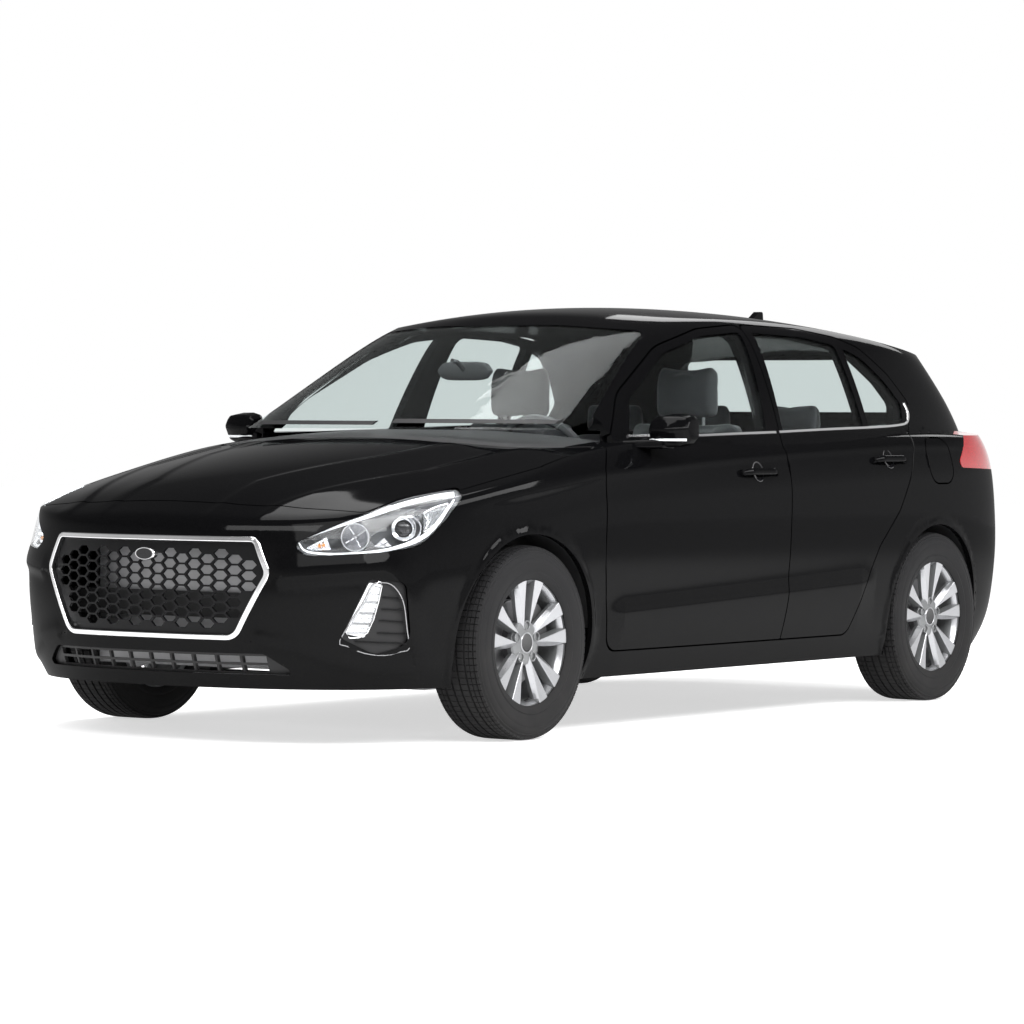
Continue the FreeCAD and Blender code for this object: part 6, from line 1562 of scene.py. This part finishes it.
@dataclass
class Seats:
    """Front seats and rear bench as padded pieces over their frames."""

    seat_x: float = -0.080
    seat_y: float = 0.370
    seat_base: float = 0.330
    bench_x: float = -0.850
    bench_base: float = 0.410
    depth: float = 0.520
    rise: float = 0.715
    seat_half: float = 0.247
    bench_half: float = 0.636
    cell: float = 0.009
    swell: float = 0.010
    edge_round: float = 0.034
    seam_depth: float = 0.009
    seam_half: float = 0.008
    frames: int = 16
    steps: tuple[float, ...] = (0.12, 0.3, 0.5, 0.68, 0.8, 0.88, 0.95, 0.985, 1.0)
    cushion: tuple[tuple[float, float], ...] = ((0.51, 0.09), (0.50, 0.22), (0.30, 0.215), (0.0, 0.175),
                                                (-0.44, 0.165), (-0.52, 0.10), (-0.50, 0.0), (0.45, 0.015))
    back: tuple[tuple[float, float], ...] = ((-0.33, 0.15), (-0.42, 0.36), (-0.50, 0.60), (-0.60, 0.96),
                                             (-0.70, 0.995), (-0.79, 0.95), (-0.73, 0.60), (-0.60, 0.20),
                                             (-0.50, 0.08))
    rest: tuple[tuple[float, float], ...] = ((-0.63, 1.03), (-0.62, 1.18), (-0.66, 1.265), (-0.73, 1.275),
                                             (-0.79, 1.22), (-0.78, 1.03), (-0.71, 1.00))
    bench_cushion: tuple[tuple[float, float], ...] = ((0.49, 0.03), (0.49, 0.175), (0.40, 0.195), (0.0, 0.15),
                                                      (-0.22, 0.135), (-0.27, 0.06), (-0.20, 0.015),
                                                      (0.44, 0.0))
    bench_back: tuple[tuple[float, float], ...] = ((-0.20, 0.16), (-0.33, 0.48), (-0.45, 0.80), (-0.53, 0.83),
                                                   (-0.60, 0.79), (-0.56, 0.50), (-0.47, 0.16), (-0.33, 0.09))
    bench_rest: tuple[tuple[float, float], ...] = ((-0.46, 0.84), (-0.465, 0.95), (-0.50, 0.98),
                                                   (-0.56, 0.975),
                                                   (-0.60, 0.93), (-0.605, 0.84), (-0.53, 0.82))

    def ring(self, outline: Sequence[tuple[float, float]], origin: tuple[float, float]) -> np.ndarray:
        """The side outline of a pad in metres, rounded."""
        row = [(origin[0] + x * self.depth, origin[1] + z * self.rise, 0.0) for x, z in outline]
        return np.array(smoothed(row, 4, True))[:, :2]

    def pad(self, outline: Sequence[tuple[float, float]], origin: tuple[float, float], middle: float,
            half: float,
            seams: Sequence[float], face: tuple[float, float], hollow: float) -> bpy.types.Object:
        """One stuffed pad.

        Args:
            outline: Its side outline, as shares of the seat's size.
            origin: Where the shares start, along the car and up.
            middle: Its middle across the car.
            half: Half its width.
            seams: Shares of the half width where a seam draws the cover in.
            face: The direction that the side for the body looks in.
            hollow: How far that side dips between the bolsters.

        Returns:
            The pad.
        """
        ring = self.ring(outline, origin)
        along = np.roll(ring, -1, 0) - np.roll(ring, 1, 0)
        normals = np.stack([along[:, 1], -along[:, 0]], 1) / np.linalg.norm(along, axis=1)[:, None]
        centre = ring.mean(0)
        normals *= np.sign(((ring - centre) * normals).sum())
        front = np.clip((normals @ np.array(face) - 0.4) / 0.4, 0, 1)
        lips = (-self.seam_half / half, 0.0, self.seam_half / half)
        shares = sorted({side * s for s in self.steps for side in (-1,
                                                                   1)} | {s + d for s in seams for d in lips})
        sections = []
        for share in shares:
            turn = max(0.0, (abs(share) - 0.82) / 0.18)
            inset = self.swell * 0.8 + self.edge_round * (1 - math.sqrt(max(0.0, 1 - turn * turn)))
            drawn = self.seam_depth if any(abs(share - s) < 1e-6 for s in seams) else 0.0
            dip = hollow * max(0.0, 1 - (share / 0.66) ** 2) + drawn
            moved = ring - normals * (inset + front[:, None] * dip)
            sections.append([(x, middle + share * half, z) for x, z in moved])
        thing = lofted("Pad", sections, smooth=80)
        activate(thing)
        applied(thing, "REMESH", mode="VOXEL", voxel_size=self.cell, use_smooth_shade=True)
        self.stuff(thing)
        applied(thing, "SMOOTH", factor=0.4, iterations=2)
        return dress(finished(thing, 80), FABRIC)

    def stuff(self, thing: bpy.types.Object) -> None:
        """Blow the cover out as cloth and keep each place within the swell."""
        activate(thing)
        count = len(thing.data.vertices)
        before = np.empty(count * 3)
        thing.data.vertices.foreach_get("co", before)
        cloth = thing.modifiers.new("Cover", "CLOTH")
        for name, value in COVER_SETTINGS.items():
            setattr(cloth.settings, name, value)
        cloth.settings.effector_weights.gravity = 0.0
        cloth.point_cache.frame_start, cloth.point_cache.frame_end = 1, self.frames
        for step in range(1, self.frames + 1):
            bpy.context.scene.frame_set(step)
        bpy.ops.object.modifier_apply(modifier=cloth.name)
        bpy.context.scene.frame_set(1)
        after = np.empty(count * 3)
        thing.data.vertices.foreach_get("co", after)
        move = (after - before).reshape(-1, 3)
        size = np.linalg.norm(move, axis=1, keepdims=True)
        move *= np.minimum(1.0, self.swell / np.maximum(size, 1e-9))
        thing.data.vertices.foreach_set("co", (before + move.ravel()))
        thing.data.update()

    def posts(self, name: str, spots: Sequence[tuple[float, float]], origin: tuple[float, float],
              low: tuple[float, float], high: tuple[float, float]) -> bpy.types.Object:
        """Steel posts that carry the headrests.

        Args:
            name: The name of the posts.
            spots: The middle of each pair across the car and half its spread.
            origin: Where the shares start, along the car and up.
            low: The foot of a post, as shares of the seat's size.
            high: Its top.

        Returns:
            The posts.
        """
        made = []
        for middle, spread in spots:
            for side in (-1, 1):
                y = middle + side * spread
                path = [(origin[0] + x * self.depth, y, origin[1] + z * self.rise) for x, z in (low, high)]
                made.append(dress(tube("Post", path, 0.006, 12), STEEL))
        return joined(name, made)

    def build(self) -> None:
        """Stuff every pad and set the seats in place."""
        seat, bench = (self.seat_x, self.seat_base), (self.bench_x, self.bench_base)
        upward, ahead = (0.0, 1.0), (1.0, 0.25)
        pads = [self.pad(self.cushion, seat, self.seat_y, self.seat_half, (-0.62, 0.62), upward, 0.014),
                self.pad(self.back, seat, self.seat_y, self.seat_half * 0.94, (-0.60, 0.60), ahead, 0.022),
                self.pad(self.rest, seat, self.seat_y, self.seat_half * 0.50, (), ahead, 0.004)]
        one = joined("Front_pads", pads)
        both = joined("Front_seats", [one, copied(one, "Front_pads_right", OTHER_SIDE)])
        settle(both, "body", "front_seats")
        seams = (-0.62, -0.34, 0.34, 0.62)
        rows = [self.pad(self.bench_cushion, bench, 0.0, self.bench_half, seams, upward, 0.006),
                self.pad(self.bench_back, bench, 0.0, self.bench_half * 0.98, seams, ahead, 0.008)]
        rows += [self.pad(self.bench_rest, bench, y, 0.122, (), ahead, 0.003) for y in (-0.397, 0.0, 0.397)]
        rear = joined("Rear_bench", rows)
        settle(rear, "body", "rear_bench")
        low, high = (-0.70, 0.93), (-0.71, 1.10)
        settle(self.posts("Headrest_posts", ((self.seat_y, 0.07), (-self.seat_y, 0.07)), seat, low, high),
               "body")
        settle(self.posts("Bench_posts", ((-0.397, 0.05), (0.0, 0.05), (0.397, 0.05)), bench, (-0.53, 0.76),
                          (-0.535, 0.90)), "body")
        LOG.info("seats")


@dataclass
class Cabin:
    """Dashboard fittings, steering wheel and the mirror behind the windscreen."""

    form: BodyForm
    screen_half: float = 0.118
    screen_low: float = 0.905
    screen_high: float = 1.000
    vent_half: float = 0.062
    vent_rise: float = 0.024
    vents: tuple[float, ...] = (-0.60, -0.165, 0.165, 0.60)
    mirror_high: float = 1.245
    mirror_half: float = 0.118
    mirror_tall: float = 0.033
    mirror_thick: float = 0.014

    def face(self, node: str) -> BVHTree:
        """The surface of a frame piece, ready for rays."""
        verts, tris = mesh_arrays(frame["nodes"][node])
        return BVHTree.FromPolygons(verts.tolist(), tris.tolist())

    def slab(self, name: str, place: Vector, up: Vector, half: float, rise: float, thick: float,
             round_edge: float,
             finish: Finish) -> bpy.types.Object:
        """A rounded slab that faces the rear of the cabin."""
        out = Vector((0, 1, 0)).cross(up).normalized()
        out = out if out.x < 0 else -out
        corners = []
        for sy, sz in ((1, 1), (-1, 1), (-1, -1), (1, -1)):
            turn = math.atan2(sz, sy)
            for step in np.linspace(-math.pi / 4, math.pi / 4, 5):
                angle = turn + step
                corners.append((sy * (half - round_edge) + math.cos(angle) * round_edge,
                                sz * (rise - round_edge) + math.sin(angle) * round_edge))
        sections = []
        for depth, shrink in ((-thick, 1.0), (thick * 0.55, 1.0), (thick * 0.85, 0.985), (thick, 0.955)):
            sections.append([tuple(place + Vector((0, 1, 0)) * a * shrink + up * b * shrink + out * depth)
                             for a, b in corners])
        return dress(lofted(name, sections, smooth=40), finish)

    def place(self, tree: BVHTree, y: float, z: float) -> tuple[Vector, Vector]:
        """A spot on the rear face of the dashboard and its upward direction."""
        hits = [tree.ray_cast(Vector((0.0, y, z - 0.015 * k)), Vector((1, 0, 0))) for k in range(12)]
        hit = next(h for h in hits if h[0] is not None)
        normal = hit[1] if hit[1].x < 0 else -hit[1]
        across = Vector((0, 1, 0))
        up = across.cross(normal).normalized()
        return hit[0], up if up.z > 0 else -up

    def fittings(self) -> bpy.types.Object:
        """Screen and air vents on the dashboard."""
        tree = self.face("dashboard")
        middle = (self.screen_low + self.screen_high) / 2
        made = []
        spot, up = self.place(tree, 0.0, middle)
        made.append(self.slab("Screen", spot, up, self.screen_half, 0.050, 0.010, 0.008, GLOSS))
        for y in self.vents:
            spot, up = self.place(tree, y, middle)
            made.append(self.slab("Vent", spot, up, self.vent_half, self.vent_rise + 0.006, 0.005, 0.010,
                                  CABIN))
            for k in range(4):
                shift = up * ((k - 1.5) * self.vent_rise * 0.5)
                half = self.vent_half - 0.010
                made.append(self.slab("Slat", spot + shift, up, half, 0.0032, 0.009, 0.0015, TRIM))
        return joined("Dashboard_fittings", made)

    def mirror(self) -> bpy.types.Object:
        """Driving mirror on its stalk behind the windscreen."""
        tree = self.face("windscreen")
        hit = tree.ray_cast(Vector((0.0, 0.0, self.mirror_high)), Vector((1, 0, 0)))
        foot = hit[0] - Vector((0.002, 0, 0))
        head = foot + Vector((-0.075, 0, -0.035))
        sections = []
        for share in np.linspace(-1, 1, 13):
            fall = math.sqrt(max(0.02, 1 - abs(share) ** 5))
            sections.append([tuple(head + Vector((math.cos(t) * self.mirror_thick * fall - 0.004,
                                                  share * self.mirror_half,
                                                  math.sin(t) * self.mirror_tall * fall)))
                             for t in turns(20)])
        bend = [tuple(foot), tuple(foot + Vector((-0.03, 0, -0.004))), tuple(head)]
        made = [dress(lofted("Head", sections, smooth=60), CABIN),
                dress(tube("Stalk", bend, 0.008, 12), CABIN)]
        return joined("Driving_mirror", made)

    def build(self) -> None:
        """Fit the cabin out."""
        settle(self.fittings(), "body")
        settle(self.mirror(), "body")
        eased_node("dashboard", CABIN, 0.010, 3, 50)
        eased_node("steering_wheel", CABIN, 0.003, 2, 50)
        LOG.info("cabin")


@dataclass
class Studio:
    """Floor, backdrop, light and camera."""

    sensor: float = 36.0
    focal_share: float = 4200.0 / 1024.0
    camera_turn: tuple[float, float, float] = (-145.01, -1.118, 0.397)
    camera_place: Point = (12.420, 8.601, 1.004)
    floor_glow: float = 0.62
    floor_glow_less_in_gloss: float = 0.27
    floor_half: float = 40.0
    sky_share: float = 0.50
    sky_falloff: tuple[float, ...] = (0.08, 0.42, 1.0, 0.20)
    lamps: tuple[tuple[str, Point, Point, tuple[float, float], float], ...] = (
        ("Overhead", (0.3, -0.8, 6.2), (0.0, 0.0, 0.5), (7.0, 2.6), 330.0),
        ("Side box", (0.0, 5.6, 4.2), (0.0, 0.0, 0.6), (9.0, 2.2), 560.0),
        ("Front box", (7.0, 1.0, 4.6), (1.5, 0.0, 0.5), (5.0, 1.4), 170.0),
        ("Rear box", (-7.0, -2.0, 4.2), (-1.5, 0.0, 0.6), (4.0, 1.4), 120.0),
        ("Near box", (6.5, 4.6, 5.8), (1.8, 0.6, 0.5), (6.0, 4.0), 250.0))

    def pale(self, name: str, colour: Colour) -> bpy.types.Material:
        """A pale material that looks plain white to the camera and through glass, and dimmer in reflections.
        """
        made = bpy.data.materials.new(name)
        made.use_nodes = True
        nodes, links = made.node_tree.nodes, made.node_tree.links
        shader = nodes["Principled BSDF"]
        shader.inputs["Base Color"].default_value = (*colour, 1)
        shader.inputs["Roughness"].default_value = 0.9
        shader.inputs["Specular IOR Level"].default_value = 0.1
        speck = nodes.new("ShaderNodeTexNoise")
        speck.inputs["Scale"].default_value = 3.0
        shade = nodes.new("ShaderNodeMapRange")
        shade.inputs["To Min"].default_value, shade.inputs["To Max"].default_value = 0.85, 0.95
        links.new(speck.outputs["Fac"], shade.inputs["Value"])
        links.new(shade.outputs["Result"], shader.inputs["Roughness"])
        path = nodes.new("ShaderNodeLightPath")
        tree = made.node_tree
        glow = calc(tree, "MULTIPLY", self.seen_as_background(tree, path), self.floor_glow)
        held = calc(tree, "MULTIPLY", path.outputs["Is Glossy Ray"], self.floor_glow_less_in_gloss)
        shader.inputs["Emission Color"].default_value = (1, 1, 1, 1)
        links.new(calc(tree, "SUBTRACT", glow, held), shader.inputs["Emission Strength"])
        return made

    def seen_as_background(self, tree: bpy.types.NodeTree, path: bpy.types.Node) -> bpy.types.NodeSocket:
        """One where the camera, a reflection or a view through glass sees the surface, else nothing."""
        found = path.outputs["Is Camera Ray"]
        for name in ("Is Glossy Ray", "Is Transmission Ray"):
            found = calc(tree, "MAXIMUM", found, path.outputs[name])
        return found

    def sheet(self, name: str, corners: Sequence[Point], material: bpy.types.Material) -> None:
        """A flat stage sheet between four corners."""
        mesh = bpy.data.meshes.new(name)
        mesh.from_pydata(list(corners), [], [tuple(range(len(corners)))])
        mesh.materials.append(material)
        made = bpy.data.objects.new(name, mesh)
        bpy.context.scene.collection.objects.link(made)

    def lamp(self, name: str, place: Point, target: Point, size: tuple[float, float], power: float) -> None:
        """A soft rectangular lamp aimed at a point."""
        data = bpy.data.lights.new(name, "AREA")
        data.shape, data.size, data.size_y, data.energy = "RECTANGLE", size[0], size[1], power
        made = bpy.data.objects.new(name, data)
        made.location = place
        made.rotation_euler = (Vector(target) - Vector(place)).to_track_quat("-Z", "Y").to_euler()
        bpy.context.scene.collection.objects.link(made)

    def build(self) -> None:
        """Set the stage and the camera."""
        scene = bpy.context.scene
        scene.view_settings.view_transform = "Standard"
        edge = self.floor_half
        self.sheet("Floor", ((-edge, -edge, 0), (edge, -edge, 0), (edge, edge, 0), (-edge, edge, 0)),
                   self.pale("Floor white", (0.80, 0.80, 0.80)))
        world = bpy.data.worlds.new("Studio")
        scene.world = world
        world.use_nodes = True
        tree = world.node_tree
        nodes, links = tree.nodes, tree.links
        ground = nodes["Background"]
        ground.inputs["Color"].default_value = (1, 1, 1, 1)
        path = nodes.new("ShaderNodeLightPath")
        place, split, falloff = (nodes.new("ShaderNodeTexCoord"), nodes.new("ShaderNodeSeparateXYZ"),
                                 nodes.new("ShaderNodeMapRange"))
        links.new(place.outputs["Generated"], split.inputs[0])
        links.new(split.outputs["Z"], falloff.inputs["Value"])
        for socket, value in zip(("From Min", "From Max", "To Min", "To Max"), self.sky_falloff):
            falloff.inputs[socket].default_value = value
        glossy = path.outputs["Is Glossy Ray"]
        strength = calc(tree, "MULTIPLY", glossy, falloff.outputs["Result"])
        diffuse = calc(tree, "MULTIPLY_ADD", glossy, -self.sky_share, self.sky_share)
        for other in (diffuse, path.outputs["Is Camera Ray"], path.outputs["Is Transmission Ray"]):
            strength = calc(tree, "MAXIMUM", strength, other)
        links.new(strength, ground.inputs["Strength"])
        for name, place, target, size, power in self.lamps:
            self.lamp(name, place, target, size, power)
        data = bpy.data.cameras.new("Camera")
        data.sensor_width = self.sensor
        data.lens = self.focal_share * self.sensor
        data.clip_end = 200.0
        camera = bpy.data.objects.new("Camera", data)
        yaw, pitch, roll = (math.radians(angle) for angle in self.camera_turn)
        ahead = Vector((math.cos(yaw) * math.cos(pitch), math.sin(yaw) * math.cos(pitch), math.sin(pitch)))
        right = ahead.cross(Vector((0, 0, 1))).normalized()
        up = right.cross(ahead)
        turned_right = right * math.cos(roll) + up * math.sin(roll)
        turned_up = up * math.cos(roll) - right * math.sin(roll)
        grid = Matrix((turned_right, turned_up, -ahead)).transposed().to_4x4()
        grid.translation = Vector(self.camera_place)
        camera.matrix_world = grid
        scene.collection.objects.link(camera)
        scene.camera = camera


def main() -> None:
    """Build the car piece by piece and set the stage."""
    logging.basicConfig(level=logging.INFO, format="%(message)s")
    for node, finish in NODE_FINISH.items():
        dress(frame["nodes"][node], finish)
    form = BodyForm()
    panels = PanelWork(form)
    for node in PANELS:
        panels.panel(node)
    panels.panel("headlamp_lenses", CLEAR)
    for node in ("windscreen", "tailgate_glass", "front_glass_left", "front_glass_right", "rear_glass_left",
                 "rear_glass_right"):
        panels.panel(node, GLASS)
    Wheels().build()
    FrontLamps(form).build()
    Grille(form).build()
    SideTrim(form).build()
    Seats().build()
    Cabin(form).build()
    Studio().build()


if __name__ == "__main__":
    main()
